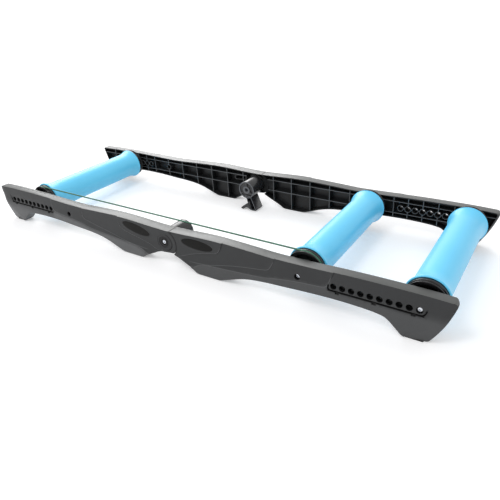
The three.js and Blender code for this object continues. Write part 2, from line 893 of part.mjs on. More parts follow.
const rollers = new THREE.Group();
halves.forEach((half) => sides.forEach((side) => rollers.add(railSet(half, side))));
sides.forEach((side) => rollers.add(hingeSet(side)));

const frontX = -rowStation(frontHoleIndex);
const middleX = singleStation;
const rearX = rowStation(rearHoleIndex);
rollers.add(drumSet('front', frontX));
rollers.add(drumSet('middle', middleX));
rollers.add(drumSet('rear', rearX));
rollers.add(piece('drive_belt', driveBelt(frontX, middleX), finishes.belt, 0, -beltY, axleHeight));

export default rollers;
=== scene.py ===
import json
import math

import bmesh
import bpy
import numpy as np
from mathutils import Matrix, Vector
from mathutils.geometry import delaunay_2d_cdt


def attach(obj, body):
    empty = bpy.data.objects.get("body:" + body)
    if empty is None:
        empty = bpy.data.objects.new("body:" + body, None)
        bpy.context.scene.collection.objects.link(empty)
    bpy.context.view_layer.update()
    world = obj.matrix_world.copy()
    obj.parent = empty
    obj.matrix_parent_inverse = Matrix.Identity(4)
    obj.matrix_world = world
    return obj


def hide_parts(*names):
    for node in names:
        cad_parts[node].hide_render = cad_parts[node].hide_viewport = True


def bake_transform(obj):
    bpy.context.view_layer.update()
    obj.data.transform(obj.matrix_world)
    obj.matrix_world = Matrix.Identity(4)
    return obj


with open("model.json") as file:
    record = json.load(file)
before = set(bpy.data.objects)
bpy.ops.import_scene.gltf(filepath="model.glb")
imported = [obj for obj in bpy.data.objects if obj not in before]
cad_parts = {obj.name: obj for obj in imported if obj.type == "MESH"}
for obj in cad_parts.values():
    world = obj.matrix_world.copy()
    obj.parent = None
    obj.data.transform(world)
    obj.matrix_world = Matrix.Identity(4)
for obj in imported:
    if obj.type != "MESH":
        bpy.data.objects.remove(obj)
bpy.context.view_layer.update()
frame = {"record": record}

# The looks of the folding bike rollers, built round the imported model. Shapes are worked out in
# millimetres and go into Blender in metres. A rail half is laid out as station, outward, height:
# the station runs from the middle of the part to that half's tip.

MM = 0.001

# Rail sizes, as in the solids
HALF_LENGTH = 710
RAIL_HEIGHT = 108.5
FACE = 240
INNER = 209
FLOOR = 232
WALL = 3
RAIL_BOTTOM = 0.8
MID_FOOT = (92, 164)
END_FOOT = (615, 661)
FOOT_OUTER = {"front": 675, "rear": 665}
ARCH_HEIGHT = 42
TIP_BULGE = {"front": 0.12, "rear": 0.45}
TIP_CORNER = 12
TOP_LEVEL = 0.949 * RAIL_HEIGHT
AXLE_HEIGHT = 72.5
HOLE_PITCH = 20
HOLE_COUNT = 10
ROW_START = 462
SINGLE_STATION = 377
HOLES = [SINGLE_STATION] + [ROW_START + i * HOLE_PITCH for i in range(HOLE_COUNT)]
COUNTERBORE = 6.75
COUNTERBORE_FLOOR = 226.5
BORE = 4.3
HOLE_FACETS = 32
LOOP_STEP = 0.75
BOSS = 9
BOSS_ROOM = 7.5
BOSS_FLOOR = 223

# Rows of points down the walls from the open side, close enough to round the tip's inner corner
EDGE = 0.6
EDGE_CUT = 0.18
FLOOR_CURVE = 0.7
WALL_ROWS = (12, 9, 6.5, 4.5, 3, 1.8, EDGE)
ROOM_ROWS = (EDGE, 2, 4, 6.5, 9, 12)

# Hinge. Each half has its pin at another station, as stations run from the middle outwards. The front
# half ends in a round knuckle with a chin below it, and turns in a seat of the rear half, with a hook
# for a lower lip. The rear half's ear is a disc on a neck behind the knuckle. A bowl with rings lies
# round the bolt's hole.
HINGE = (-7, 68)
PIN = {"front": (-HINGE[0], HINGE[1]), "rear": HINGE}
KNUCKLE = 40.97
SEAT = 41.47
HOOK = math.radians(-46)
HOOK_LAP = math.radians(7)
CHIN = (19, 31)
EAR = 29
EAR_FACE = 212
EAR_RING = (16, 18)
NECK = (24, 20)
BOLT_HOLE = 7.4
BOWL = 24.5
BOWL_SHIFT = (3.5, 0)
BOWL_GROOVE = 1.6
SEAM_LIP = 0.4
RING_RADII = [BOLT_HOLE, 8, 10.6, 11.4, 15.4, 16.2, 17.4, 18.2, 60]
RING_LEVELS = [-0.5, 0.25, 0.25, -1.1, -1.1, -0.3, -0.3, -0.9, -0.9]
SHADE_RADII = [8, 10.4, 11.4, 15.4, 16.4, 18.4]
SHADES = [0.95, 0.75, 0.95, 0.95, 0.35, 0]

# Ribs inside a rail. The crest's pairs are half widths, and how far these lie below the top.
RIB_TOP = 210
RIB_CREST = [(1.1, 0.6), (0.8, 0.12), (0.4, 0)]
RIB_ROOT = 1.45
RIB_REACH = 1.2
RIB_PITCH = 64
RIB_STATIONS = [SINGLE_STATION - RIB_PITCH * i for i in range(6)]
RIB_STATIONS += [ROW_START + HOLE_PITCH * (2 * i - 1) for i in range(6)]
RIB_LEVELS = (AXLE_HEIGHT - 17, AXLE_HEIGHT + 17)
RIB_START = {"front": 44, "rear": 36}

# Outline of a rail half, in shares as in the solids
TOP_SHARES = [
    (0, 0.949), (0.071, 0.963), (0.141, 0.986), (0.212, 1), (0.283, 0.991), (0.376, 0.968),
    (0.453, 0.948), (0.566, 0.957), (0.655, 0.977), (0.764, 0.991), (0.901, 0.991), (0.99, 0.972),
]
FLANK_SHARES = [(0.29, 0.72), (0.545, 0.5), (0.77, 0.3), (0.915, 0.14)]
ARCH_SHARES = [
    (0.02, 0.08), (0.07, 0.27), (0.13, 0.5), (0.2, 0.68), (0.3, 0.8), (0.4, 0.86), (0.5, 0.93),
    (0.61, 0.985), (0.72, 1), (0.84, 0.95), (0.905, 0.85), (0.93, 0.72),
]

# Edges of the stepped panels on each outer face, in station and height, and the corner that closes
# their regions. A panel's face is given by its outward places at two heights.
PANELS = {
    "front": {
        "hole": [(-90, 20), (250, 42), (322, 52.7), (358, 57.6), (395, 61.8), (426, 65), (441, 67.5),
                 (448, 73), (451, 82), (454, 98), (455, 130)],
        "lap": [(-90, 6), (60, 14), (99, 27.8), (163, 39.6), (211, 50.2), (262, 59.6), (298, 67.5),
                (310, 71.5), (315.5, 79), (315, 95), (313.5, 130)],
        "badge": [(-90, 34), (21, 38.8), (46, 44.5), (58, 50), (93, 58.7), (124, 64.8), (147, 70.1),
                  (158, 75), (165, 83), (168, 98), (168.5, 130)],
    },
    "rear": {
        "hole": [(-90, 20), (250, 42), (322, 52), (358, 57), (395, 61), (430, 63.5), (443, 66),
                 (449, 71), (453, 80), (458.5, 95), (461.5, 106), (463, 130)],
        "lap": [(-90, 6), (60, 12), (103, 27.5), (130, 34.4), (173, 45.5), (214, 54.5), (253, 60.6),
                (291, 66), (302, 69.5), (308, 75), (314, 85), (318, 94), (321.5, 106), (323, 130)],
        "badge": [(-90, 30), (24, 33), (42, 38.4), (71, 49.9), (101, 60.9), (134, 69.5), (154, 74),
                  (163, 78), (169, 84), (174, 94), (178, 106), (180, 130)],
    },
}
PANEL_CORNERS = [(-90, 130)]
PANEL_FACES = {
    "hole": ((60, 238.2), (105, 236.1)),
    "lap": ((40, 238.5), (105, 237.7)),
    "badge": ((40, 239.7), (105, 239.9)),
}

# How much of the panels' darker tone the rear skirt takes, as painted shade, since the rear skirt shows
# less of the floor's light than the front one; how far the seam's shade reaches, half the
# width of a panel's step, the bead along it, and how the face under the panels leans inwards
REAR_SKIRT_PAINTED_SHADE = 0.56
SEAM_SHADE = (1, 1.9)
STEP = 0.5
BEAD = 0.36
BASE_LEAN = 6.1
BASE_FROM = 46
BASE_RISE = 30
BASE_RUN = 59

# The pocket round the row of holes, with the slot under it, and the crease at the tip
POCKET = [(453, 92), (450, 76), (449.4, 67), (451.5, 62.6), (458, 61.4), (550, 61.2), (645, 60.8),
          (651, 62.6), (655, 68), (658, 77), (661, 92)]
POCKET_CORNERS = [(661, 130), (453, 130)]
POCKET_DEPTH = 2.4
SLOT_DEPTH = 5
TICK_DEPTH = 4
TIP_CREASE = [(702, 122), (697, 103), (691.5, 91), (687, 76), (684, 65), (678, 53), (668, 42),
              (655, 31), (640, 22), (620, 14)]
CREASE_CORNERS = [(620, -60), (900, -60), (900, 122)]
CREASE_LEAN = 0.26

# Small notches under the row's slot: their stations and level, and half sizes at floor and mouth
TICKS = [472, 552, 632]
TICK_LEVEL = 60
TICK_FLOOR = (3.9, 2.4)
TICK_MOUTH = (4.7, 3.2)

# Badge plates: their middle, half sizes, recess, the bead round it, and tilt
BADGE_PLACE = (102, 86)
BADGE_SIZE = (48, 13)
BADGE_RECESS = 1.55
BADGE_BEAD = 0.35
BADGE_TILT = {"front": math.radians(9), "rear": math.radians(-1)}

# Where the pieces lie, and the signs that mirror them
DRUM_X = {"front": -542, "middle": 377, "rear": 642}
SIDES = {"near": -1, "far": 1}
HALVES = {"front": -1, "rear": 1}

# Places in a rail's list of one plastic in lit and shaded copies: the outside; the inside, painted darker as
# shade;
# the top flange, painted lighter for its sheen; the rims, painted lighter as highlights; the holes, painted
# near black as shade
OUTSIDE, INSIDE, TOP, RIM, PIT = range(5)


# Outlines

def arr(points):
    return np.array(points, float)


def spline(points, per_span):
    """A smooth curve through the points, evenly stepped between each pair."""
    points = arr(points)
    padded = np.vstack([points[0], points, points[-1]])
    share = np.arange(per_span)[:, None] / per_span
    spans = []
    for p0, p1, p2, p3 in zip(padded, padded[1:], padded[2:], padded[3:]):
        leave, reach = (p2 - p0) / 2, (p3 - p1) / 2
        cubic = 2 * p1 - 2 * p2 + leave + reach
        square = -3 * p1 + 3 * p2 - 2 * leave - reach
        spans.append(cubic * share**3 + square * share**2 + leave * share + p1)
    return np.vstack(spans + [points[-1:]])


def arc(centre, radius, start, end, steps):
    angles = np.linspace(start, end, steps + 1)
    return arr(centre) + radius * np.column_stack([np.cos(angles), np.sin(angles)])


def circle(centre, radius, count):
    return arc(centre, radius, 0, 2 * math.pi, count)[:-1]


def box_loop(middle, half_s, half_z):
    return arr([(-half_s, -half_z), (half_s, -half_z), (half_s, half_z), (-half_s, half_z)]) + middle


def stadium(a, b, radius):
    """A loop with straight sides and round ends about two points."""
    a, b = arr(a), arr(b)
    heading = math.atan2(*(b - a)[::-1])
    right = heading - math.pi / 2
    left = right + math.pi
    return np.vstack([arc(b, radius, right, left, 12), arc(a, radius, left, left + math.pi, 12)])


def closed(loop):
    return np.vstack([loop, loop[:1]])


def evenly(loop, step):
    """A closed loop with points a fixed step apart."""
    whole = closed(loop)
    along = np.concatenate([[0], np.cumsum(np.linalg.norm(np.diff(whole, axis=0), axis=1))])
    places = np.linspace(0, along[-1], int(along[-1] / step), endpoint=False)
    return np.column_stack([np.interp(places, along, whole[:, i]) for i in range(2)])


def bend(start, corner, end, count):
    """A curve from start to end that leans towards a corner."""
    share = np.linspace(0, 1, count)[:, None]
    return (1 - share)**2 * start + 2 * share * (1 - share) * corner + share**2 * end


def soften(loop, corner, reach, step):
    """Rounds the corner of an evenly stepped loop that lies nearest to a point."""
    at = int(np.argmin(np.linalg.norm(loop - arr(corner), axis=1)))
    half = max(1, round(reach / step))
    places = (np.arange(-half, half + 1) + at) % len(loop)
    curved = loop.copy()
    curved[places] = bend(loop[places[0]], arr(corner), loop[places[-1]], 2 * half + 1)
    return curved


def leftwards(along):
    """Unit steps to the left of each heading."""
    along = along / np.linalg.norm(along, axis=1)[:, None]
    return np.column_stack([-along[:, 1], along[:, 0]])


def inward(loop):
    return leftwards(np.roll(loop, -1, 0) - np.roll(loop, 1, 0))


def offset(loop, distance):
    return loop + inward(loop) * np.reshape(distance, (-1, 1))


def shift_line(line, distance):
    return line + distance * leftwards(np.gradient(line, axis=0))


def reach_to(points, line):
    """The distance from each point to a line of straight pieces."""
    best = np.full(len(points), np.inf)
    for start, run in zip(line, np.diff(line, axis=0)):
        away = points - start
        share = np.clip(away @ run / max(run @ run, 1e-12), 0, 1)
        best = np.minimum(best, np.linalg.norm(away - share[:, None] * run, axis=1))
    return best


def inside(points, loop):
    x, z = points[:, :1], points[:, 1:]
    x0, z0 = loop[:, 0], loop[:, 1]
    x1, z1 = np.roll(x0, -1), np.roll(z0, -1)
    crosses = (z0 > z) != (z1 > z)
    rise = np.where(z1 == z0, 1e-12, z1 - z0)
    return np.sum(crosses & (x < x0 + (z - z0) * (x1 - x0) / rise), axis=1) % 2 == 1


def between(points, outer, holes):
    keep = inside(points, outer)
    for hole in holes:
        keep &= ~inside(points, hole)
    return keep


def depth_past(points, line, corners):
    """How far points lie inside the region of a line and some corners. It is less than zero outside."""
    away = reach_to(points, line)
    return np.where(inside(points, np.vstack([line, corners])), away, -away)


def inner_loop(loop, wall):
    """The loop one wall further in, with what folds over itself at sharp corners left out."""
    moved = offset(loop, wall)
    return moved[reach_to(moved, closed(loop)) > wall * 0.985]


def thin(loop, keep=None, turn=3.0, run=7.0):
    """Places of the points that carry the loop's shape."""
    ahead = np.roll(loop, -1, 0) - loop
    heading = np.unwrap(np.arctan2(ahead[:, 1], ahead[:, 0]))
    length = np.concatenate([[0], np.cumsum(np.linalg.norm(ahead, axis=1))])
    kept = [0]
    for i in range(1, len(loop)):
        last = kept[-1]
        turned = abs(heading[i] - heading[last]) > math.radians(turn)
        if turned or length[i] - length[last] > run or (keep is not None and keep[i]):
            kept.append(i)
    return np.array(kept)


def crossings(loop, axis, value):
    """Where a loop crosses one station, or one height."""
    other = 1 - axis
    a, b = loop, np.roll(loop, -1, 0)
    hit = (a[:, axis] > value) != (b[:, axis] > value)
    a, b = a[hit], b[hit]
    share = (value - a[:, axis]) / (b[:, axis] - a[:, axis])
    return np.sort(a[:, other] + share * (b[:, other] - a[:, other]))


def smoothstep(low, high, value):
    share = np.clip((value - low) / (high - low), 0, 1)
    return share * share * (3 - 2 * share)


def hump(value, middle, width):
    return np.exp(-(((value - middle) / width)**2))


# Meshes. Lines keep clear of outlines, and spare points of all others. Spare points lie in rows,
# which are a share of their spacing apart. One spacing is for the face of a rail and one for its
# floor, and the widest leaves none.

LINE_GAP = 0.35
ROW_SHARE = 0.866
CLEAR_SHARE = 0.55
FACE_SPACING = 5.5
FLOOR_SPACING = 30
NO_SPARE = 400


class Shell:
    """Points in millimetres, and faces on them."""

    def __init__(self):
        self.points = []
        self.faces = []
        self.finishes = []

    def add(self, points):
        start = len(self.points)
        self.points.extend(tuple(float(c) for c in p) for p in points)
        return list(range(start, len(self.points)))

    def face(self, corners, finish=0):
        self.faces.append(tuple(corners))
        self.finishes.append(finish)

    def bridge(self, a, b, finish=0):
        for i in range(len(a)):
            j = (i + 1) % len(a)
            self.face((a[i], a[j], b[j], b[i]), finish)

    def rings(self, loops, finish=0):
        """Joins loops of equal length, one after another."""
        rows = [self.add(loop) for loop in loops]
        for a, b in zip(rows, rows[1:]):
            self.bridge(a, b, finish)
        return rows

    def capped(self, loops, finish=0):
        rows = self.rings(loops, finish)
        self.face(rows[0], finish)
        self.face(rows[-1], finish)

    def hoop(self, loops, finish=0):
        """Joins loops of equal length, and the last of them to the first."""
        rows = self.rings(loops, finish)
        self.bridge(rows[-1], rows[0], finish)


def solid(rows):
    """A shell of rings in a row, closed at both ends."""
    shell = Shell()
    shell.capped(rows)
    return shell


def flat(loop, y):
    """A loop in station and height at one outward place, or at one for each point."""
    return np.column_stack([loop[:, 0], np.broadcast_to(y, len(loop)), loop[:, 1]])


def stack(loop, steps):
    """Copies of a loop for rings, by pairs of how far inwards and at what outward place."""
    return [flat(offset(loop, inset), y) for inset, y in steps]


def fill(shell, outer, holes, lines, height, spacing, finish=0):
    """Covers a loop, less its holes, with triangles that follow the lines, at a level or by a function."""
    loops = [outer, *holes]
    points, edges = [], []
    for loop in loops:
        first = len(points)
        points.extend(loop)
        edges.extend((first + i, first + (i + 1) % len(loop)) for i in range(len(loop)))
    for line in lines:
        keep = between(line, outer, holes)
        for loop in loops:
            keep &= reach_to(line, closed(loop)) > LINE_GAP
        first = len(points)
        order = np.cumsum(keep) - 1
        points.extend(line[keep])
        joined = [i for i in range(len(line) - 1) if keep[i] and keep[i + 1]]
        edges.extend((int(first + order[i]), int(first + order[i + 1])) for i in joined)
    points.extend(scatter(arr(points), outer, holes, spacing))
    found = delaunay_2d_cdt([Vector(p) for p in points], edges, [], 0, 1e-5)
    flat_points = arr([tuple(p) for p in found[0]])
    corners = np.array([f for f in found[2] if len(f) == 3])
    places = np.array(shell.add(flat(flat_points, height(flat_points) if callable(height) else height)))
    for corner in corners[between(flat_points[corners].mean(axis=1), outer, holes)]:
        shell.face(places[corner].tolist(), finish)


def scatter(taken, outer, holes, spacing):
    """Spare points on a triangular grid, clear of those already there."""
    low, high = outer.min(0), outer.max(0)
    rows = np.arange(low[1], high[1], spacing * ROW_SHARE)
    across = np.arange(low[0], high[0], spacing)
    grid = arr([(x + (i % 2) * spacing / 2, z) for i, z in enumerate(rows) for x in across])
    grid = grid[between(grid, outer, holes)]
    clear = [np.min(np.linalg.norm(taken - p, axis=1)) > spacing * CLEAR_SHARE for p in grid]
    return grid[arr(clear).astype(bool)]


def turn(shell, profile, count, centre, finish=0):
    """A closed profile of radius and outward place, turned round an axle, in one finish or a list."""
    rows = [shell.add(flat(circle(centre, r, count), y)) for r, y in profile]
    for i in range(len(rows)):
        shell.bridge(rows[i - 1], rows[i], finish[i] if np.ndim(finish) else finish)


def slab(shell, loop, from_y, to_y, edge, finish=0):
    """A block with one outline and rounded edges at both ends."""
    start = [(edge, 0), (edge * 0.3, edge * 0.3), (0, edge)]
    steps = [(inset, from_y + y) for inset, y in start] + [(inset, to_y - y) for inset, y in start[::-1]]
    shell.capped(stack(loop, steps), finish)


def rounded(profile, reach, steps=3):
    """A closed profile with each corner cut to a small curve."""
    profile = arr(profile)
    out = []
    for i, here in enumerate(profile):
        to_before = profile[i - 1] - here
        to_after = profile[(i + 1) % len(profile)] - here
        limit = min(np.linalg.norm(to_before), np.linalg.norm(to_after)) * 0.45
        cut = min(reach[i] if np.ndim(reach) else reach, limit)
        start = here + to_before / np.linalg.norm(to_before) * cut
        end = here + to_after / np.linalg.norm(to_after) * cut
        out.extend(bend(start, here, end, steps + 1))
    return out


def build(name, shell, signs=(1, 1), angle=35):
    """A Blender object from a shell. The signs mirror its station and its outward place."""
    points = arr(shell.points) * MM * (*signs, 1)
    mesh = bpy.data.meshes.new(name)
    mesh.from_pydata(points.tolist(), [], shell.faces)
    mesh.polygons.foreach_set("material_index", shell.finishes)
    work = bmesh.new()
    work.from_mesh(mesh)
    bmesh.ops.remove_doubles(work, verts=work.verts, dist=2e-6)
    bmesh.ops.dissolve_degenerate(work, edges=work.edges, dist=1e-7)
    bmesh.ops.recalc_face_normals(work, faces=work.faces)
    work.to_mesh(mesh)
    work.free()
    mesh.shade_smooth()
    mesh.set_sharp_from_angle(angle=math.radians(angle))
    thing = bpy.data.objects.new(name, mesh)
    bpy.context.collection.objects.link(thing)
    return thing


BODY_OF = {
    node: body for body, nodes in frame["record"]["behaviour"]["bodies"].items() for node in nodes
}


def dress(node, shell, materials, signs=(1, 1)):
    """Puts a shell in a node's place, on the node's body."""
    thing = build(f"{node}_look", shell, signs)
    for material in materials:
        thing.data.materials.append(material)
    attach(thing, BODY_OF[node])
    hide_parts(node)
    return thing


# Materials

class Nodes:
    """The node tree of a material or a world, with short calls for the nodes used here."""

    def __init__(self, owner):
        owner.use_nodes = True
        self.owner = owner
        self.tree = owner.node_tree
        self.place = self.add("ShaderNodeTexCoord").outputs["Object"]

    def feed(self, node, sockets):
        """Gives a node's input sockets their values or links."""
        for key, value in sockets.items():
            if isinstance(value, bpy.types.NodeSocket):
                self.tree.links.new(value, node.inputs[key])
            else:
                node.inputs[key].default_value = value

    def add(self, kind, sockets=None, **settings):
        node = self.tree.nodes.new(kind)
        for key, value in settings.items():
            setattr(node, key, value)
        self.feed(node, sockets or {})
        return node

    def noise(self, scale, detail=3, roughness=0.55, stretch=None):
        place = self.place
        if stretch:
            place = self.add("ShaderNodeMapping", {"Vector": place, "Scale": stretch}).outputs["Vector"]
        sockets = {"Vector": place, "Scale": scale, "Detail": detail, "Roughness": roughness}
        return self.add("ShaderNodeTexNoise", sockets).outputs["Fac"]

    def cells(self, scale):
        return self.add("ShaderNodeTexVoronoi", {"Vector": self.place, "Scale": scale}).outputs["Distance"]

    def ramp(self, source, dark, light, start=0.3, end=0.7):
        """A colour that runs from dark to light as the source rises from start to end."""
        node = self.add("ShaderNodeValToRGB", {"Fac": source})
        for element, position, seen in zip(node.color_ramp.elements, (start, end), (dark, light)):
            element.position = position
            element.color = tone(seen)
        return node.outputs["Color"]

    def level(self, source, low, high):
        sockets = {"Value": source, "To Min": low, "To Max": high}
        return self.add("ShaderNodeMapRange", sockets).outputs["Result"]

    def bump(self, source, strength, depth, after=None):
        sockets = {"Height": source, "Strength": strength, "Distance": depth}
        if after:
            sockets["Normal"] = after
        return self.add("ShaderNodeBump", sockets).outputs["Normal"]

    def mixed(self, attribute, colour, other):
        """A colour that gives way to another by one of the mesh's own shares."""
        share = self.add("ShaderNodeAttribute", attribute_name=attribute).outputs["Fac"]
        sockets = {"Factor": share, "A": colour, "B": other}
        return self.add("ShaderNodeMix", sockets, data_type="RGBA").outputs["Result"]

    def math(self, operation, first, second):
        return self.add("ShaderNodeMath", {0: first, 1: second}, operation=operation).outputs[0]

    def finish(self, **values):
        """The material, with its shader's sockets given their values or links."""
        shader = self.tree.nodes["Principled BSDF"]
        self.feed(shader, {key.replace("_", " "): value for key, value in values.items()})
        return self.owner


def tone(seen):
    """Scene-linear colour from the three 0 to 255 values seen on a screen."""
    share = np.array(seen) / 255
    linear = np.where(share < 0.0405, share / 12.92, ((share + 0.055) / 1.055)**2.4)
    return (*linear.tolist(), 1)


DEEP_SHADE = tone((8, 8, 9))
# A painted highlight, for the light that the beads along the panels' edges catch
PAINTED_EDGE_HIGHLIGHT = tone((112, 113, 114))


def new_material(name):
    return Nodes(bpy.data.materials.new(name))


def plastic(m, colour, rough, grain, relief, specular):
    """Moulded plastic: a fine even grain, and faint flow marks along the part."""
    flow = m.bump(m.noise(14, 2, 0.5, (0.25, 1, 1)), 0.12, 0.0006)
    return m.finish(
        Base_Color=colour,
        Roughness=m.level(m.noise(55, 3), *rough),
        Normal=m.bump(m.noise(grain, 2, 0.5), relief, 0.00012, flow),
        Specular_IOR_Level=specular,
    )


def moulded(name, dark, light, rough, grain, relief, specular=0.5, seamed=False):
    """Plastic with slow clouding between two greys, and with the seam's shade where it has one."""
    m = new_material(name)
    colour = m.ramp(m.noise(9, 4, 0.6), dark, light)
    if seamed:
        colour = m.mixed("pit", colour, DEEP_SHADE)
    return plastic(m, colour, (rough - 0.05, rough + 0.06), grain, relief, specular)


def rail_face_plastic_and_painted_light():
    """The outer faces, in painted light and shade: the skirt is painted lighter than the raised panels above
    it, for the floor's light that it catches; painted highlights run along the panels' edges, and painted
    shade fills the seam and the hollows of the row and the hinge.
    """
    m = new_material("rail_face_plastic")
    cloud = m.noise(9, 4, 0.6)
    # Painted light: the skirt's lighter grey stands in for the floor's light that the lower face catches
    panel = m.ramp(cloud, (41, 42, 43), (47, 48, 49))
    skirt = m.ramp(cloud, (90, 91, 92), (98, 99, 100))
    # Painted highlight along the panels' edges, then painted shade in the hollows
    highlighted = m.mixed("edge_highlight", m.mixed("panel", skirt, panel), PAINTED_EDGE_HIGHLIGHT)
    return plastic(m, m.mixed("pit", highlighted, DEEP_SHADE), (0.42, 0.54), 900, 0.22, 0.32)


def surface(m, colours, rough, grain, **uniform):
    """A surface from three patterns: each a source, then what its ramp, range or bump takes."""
    return m.finish(
        Base_Color=m.ramp(*colours), Roughness=m.level(*rough), Normal=m.bump(*grain), **uniform
    )


def drum_finish():
    """Sky blue paint over turned marks, under a thin soft coat."""
    m = new_material("drum_blue")
    turned_marks = m.bump(m.noise(420, 2, 0.5, (0.05, 1, 0.05)), 0.05, 0.0001)
    colours = m.noise(7, 3), (98, 206, 249), (107, 212, 252), 0.25, 0.75
    rough = m.noise(90, 3, 0.6, (1, 0.15, 1)), 0.36, 0.46
    grain = m.noise(1400, 2), 0.05, 0.00005, turned_marks
    return surface(m, colours, rough, grain, Specular_IOR_Level=0.45, Coat_Weight=0.22, Coat_Roughness=0.28)


def metal(name, dark, light, rough, stretch=(1, 1, 1)):
    """Metal with fine clouding, which the stretch draws out along turned marks."""
    m = new_material(name)
    colours = m.noise(160, 4, 0.6, stretch), dark, light
    clouding = m.noise(300, 3, 0.6, stretch), rough - 0.06, rough + 0.1
    return surface(m, colours, clouding, (m.noise(900, 2, 0.5, stretch), 0.08, 0.0001), Metallic=1)


def badge_finish():
    """Nearly black and matt, with a fine pebbled grain."""
    m = new_material("badge_plate")
    colours = m.noise(260, 3, 0.7), (7, 7, 6), (17, 16, 12), 0.35
    rough = m.noise(120, 2), 0.32, 0.45
    return surface(m, colours, rough, (m.cells(900), 0.25, 0.00015), Specular_IOR_Level=0.12)


def belt_finish():
    """Dark green rubber with a slight sheen."""
    m = new_material("belt_green")
    colours = m.noise(60, 3, 0.6), (42, 92, 72), (62, 118, 94)
    return surface(m, colours, (m.noise(200, 2), 0.42, 0.55), (m.noise(1600, 2), 0.1, 0.0001))


# The rail's one plastic in painted tones: darker for the shade inside and in the holes, lighter for the
# sheen on the top flange and the highlights on the rims
RAIL_PLASTIC_LIT_AND_SHADED = [
    rail_face_plastic_and_painted_light(),
    moulded("rail_inside_plastic", (24, 25, 26), (31, 32, 33), 0.36, 900, 0.2, 0.35),
    moulded("rail_top_plastic", (66, 68, 67), (74, 76, 75), 0.36, 900, 0.2, seamed=True),
    moulded("rail_rim_plastic", (82, 85, 88), (92, 95, 98), 0.4, 900, 0.2),
    moulded("rail_hole_plastic", (10, 10, 11), (15, 15, 16), 0.5, 900, 0.2, 0.2),
]
BLACK = moulded("black_plastic", (17, 17, 18), (25, 25, 27), 0.22, 1300, 0.08)
LEVER = moulded("lever_plastic", (28, 28, 30), (37, 37, 39), 0.24, 1300, 0.08)
LEVER_RIM = moulded("lever_rim_plastic", (78, 80, 84), (92, 94, 98), 0.3, 1300, 0.08)
RUBBER = moulded("pad_rubber", (44, 44, 44), (54, 54, 54), 0.8, 700, 0.4, 0.3)
SEAL = moulded("bearing_seal", (24, 22, 20), (34, 32, 30), 0.55, 1200, 0.15)
DRUM = drum_finish()
BADGE_PLATE = badge_finish()
BELT = belt_finish()
ZINC = metal("zinc_plated", (196, 200, 206), (226, 229, 234), 0.24)
DARK_STEEL_AND_SHADE = metal("blackened_steel_and_shade", (36, 36, 38), (52, 52, 54), 0.38)
TURNED = metal("turned_steel", (178, 180, 184), (208, 210, 214), 0.3, (0.1, 1, 0.1))


# Rails

def tip_station(z, half):
    """The station of the raked tip at a height. The solids' tip has a slightly shorter foot."""
    share = np.clip((z - RAIL_BOTTOM) / (TOP_LEVEL - RAIL_BOTTOM), 0, 1)
    foot = FOOT_OUTER[half]
    return foot + (HALF_LENGTH - foot) * share * (1 + TIP_BULGE[half] * (1 - share))


def tip_edge(steps, half):
    z = np.linspace(RAIL_BOTTOM, TOP_LEVEL, steps + 1)
    return np.column_stack([tip_station(z, half), z])


def top_edge():
    """The ridge line of a rail half, from the middle of the part to the tip."""
    return spline(arr(TOP_SHARES) * (HALF_LENGTH, RAIL_HEIGHT), 12)


def arch_points():
    """The arch between the two feet."""
    return arr(ARCH_SHARES) * (END_FOOT[0] - MID_FOOT[1], ARCH_HEIGHT) + (MID_FOOT[1], RAIL_BOTTOM)


def lower_edge(start):
    """The lower edge from the hinge end: the flank, the middle foot, the arch and the end foot."""
    start = arr(start)
    reach = (MID_FOOT[0] - start[0], start[1] - RAIL_BOTTOM)
    flank = arr(FLANK_SHARES) * reach + (start[0], RAIL_BOTTOM)
    flank = spline([tuple(start), *flank, (MID_FOOT[0], RAIL_BOTTOM)], 10)[1:]
    feet = arr([(MID_FOOT[1], RAIL_BOTTOM), (END_FOOT[0], RAIL_BOTTOM)])
    return np.vstack([flank, feet[:1], spline(arch_points(), 10), feet[1:]])


def rail_loop(half):
    """The outline of a half, its hinge end first, then along the floor, up the tip and back."""
    pin = PIN[half]
    if half == "rear":
        top = math.asin((TOP_LEVEL - pin[1]) / SEAT)
        end = arc(pin, SEAT, top, HOOK, 60)
        start = end[-1]
        head = []
        soft = [(start, 1.5)]
    else:
        top = math.asin((TOP_LEVEL - pin[1]) / KNUCKLE)
        end = arc(pin, KNUCKLE, math.pi - top, math.pi - HOOK - HOOK_LAP, 60)
        start = (pin[0] + CHIN[0], pin[1] - CHIN[1])
        head = [arr([start])]
        soft = [(end[-1], 6), (start, 14)]
    ridge = top_edge()
    ridge = ridge[ridge[:, 0] > end[0][0] + 1][::-1]
    foot = RAIL_BOTTOM
    soft += [((MID_FOOT[0], foot), 9), ((MID_FOOT[1], foot), 7), ((END_FOOT[0], foot), 8)]
    soft += [((FOOT_OUTER[half], foot), 5), ((HALF_LENGTH, TOP_LEVEL), 9), (end[0], 1.2)]
    soft += [(arch_points()[-1], 10)]
    loop = evenly(np.vstack([end, *head, lower_edge(start), tip_edge(24, half), ridge]), LOOP_STEP)
    for corner, reach in soft:
        loop = soften(loop, corner, reach, LOOP_STEP)
    return loop


def panel_line(half, panel):
    return spline(PANELS[half][panel], 6)


def hinge_places(points):
    """How far points lie from the hinge bolt, how much they face the seam, and how deep in the bowl."""
    away = points - PIN["front"]
    r = np.linalg.norm(away, axis=1)
    seam_side = np.clip(-away[:, 0] / np.maximum(r, 0.1), 0, 1)
    return r, seam_side, BOWL - np.linalg.norm(away + BOWL_SHIFT, axis=1)


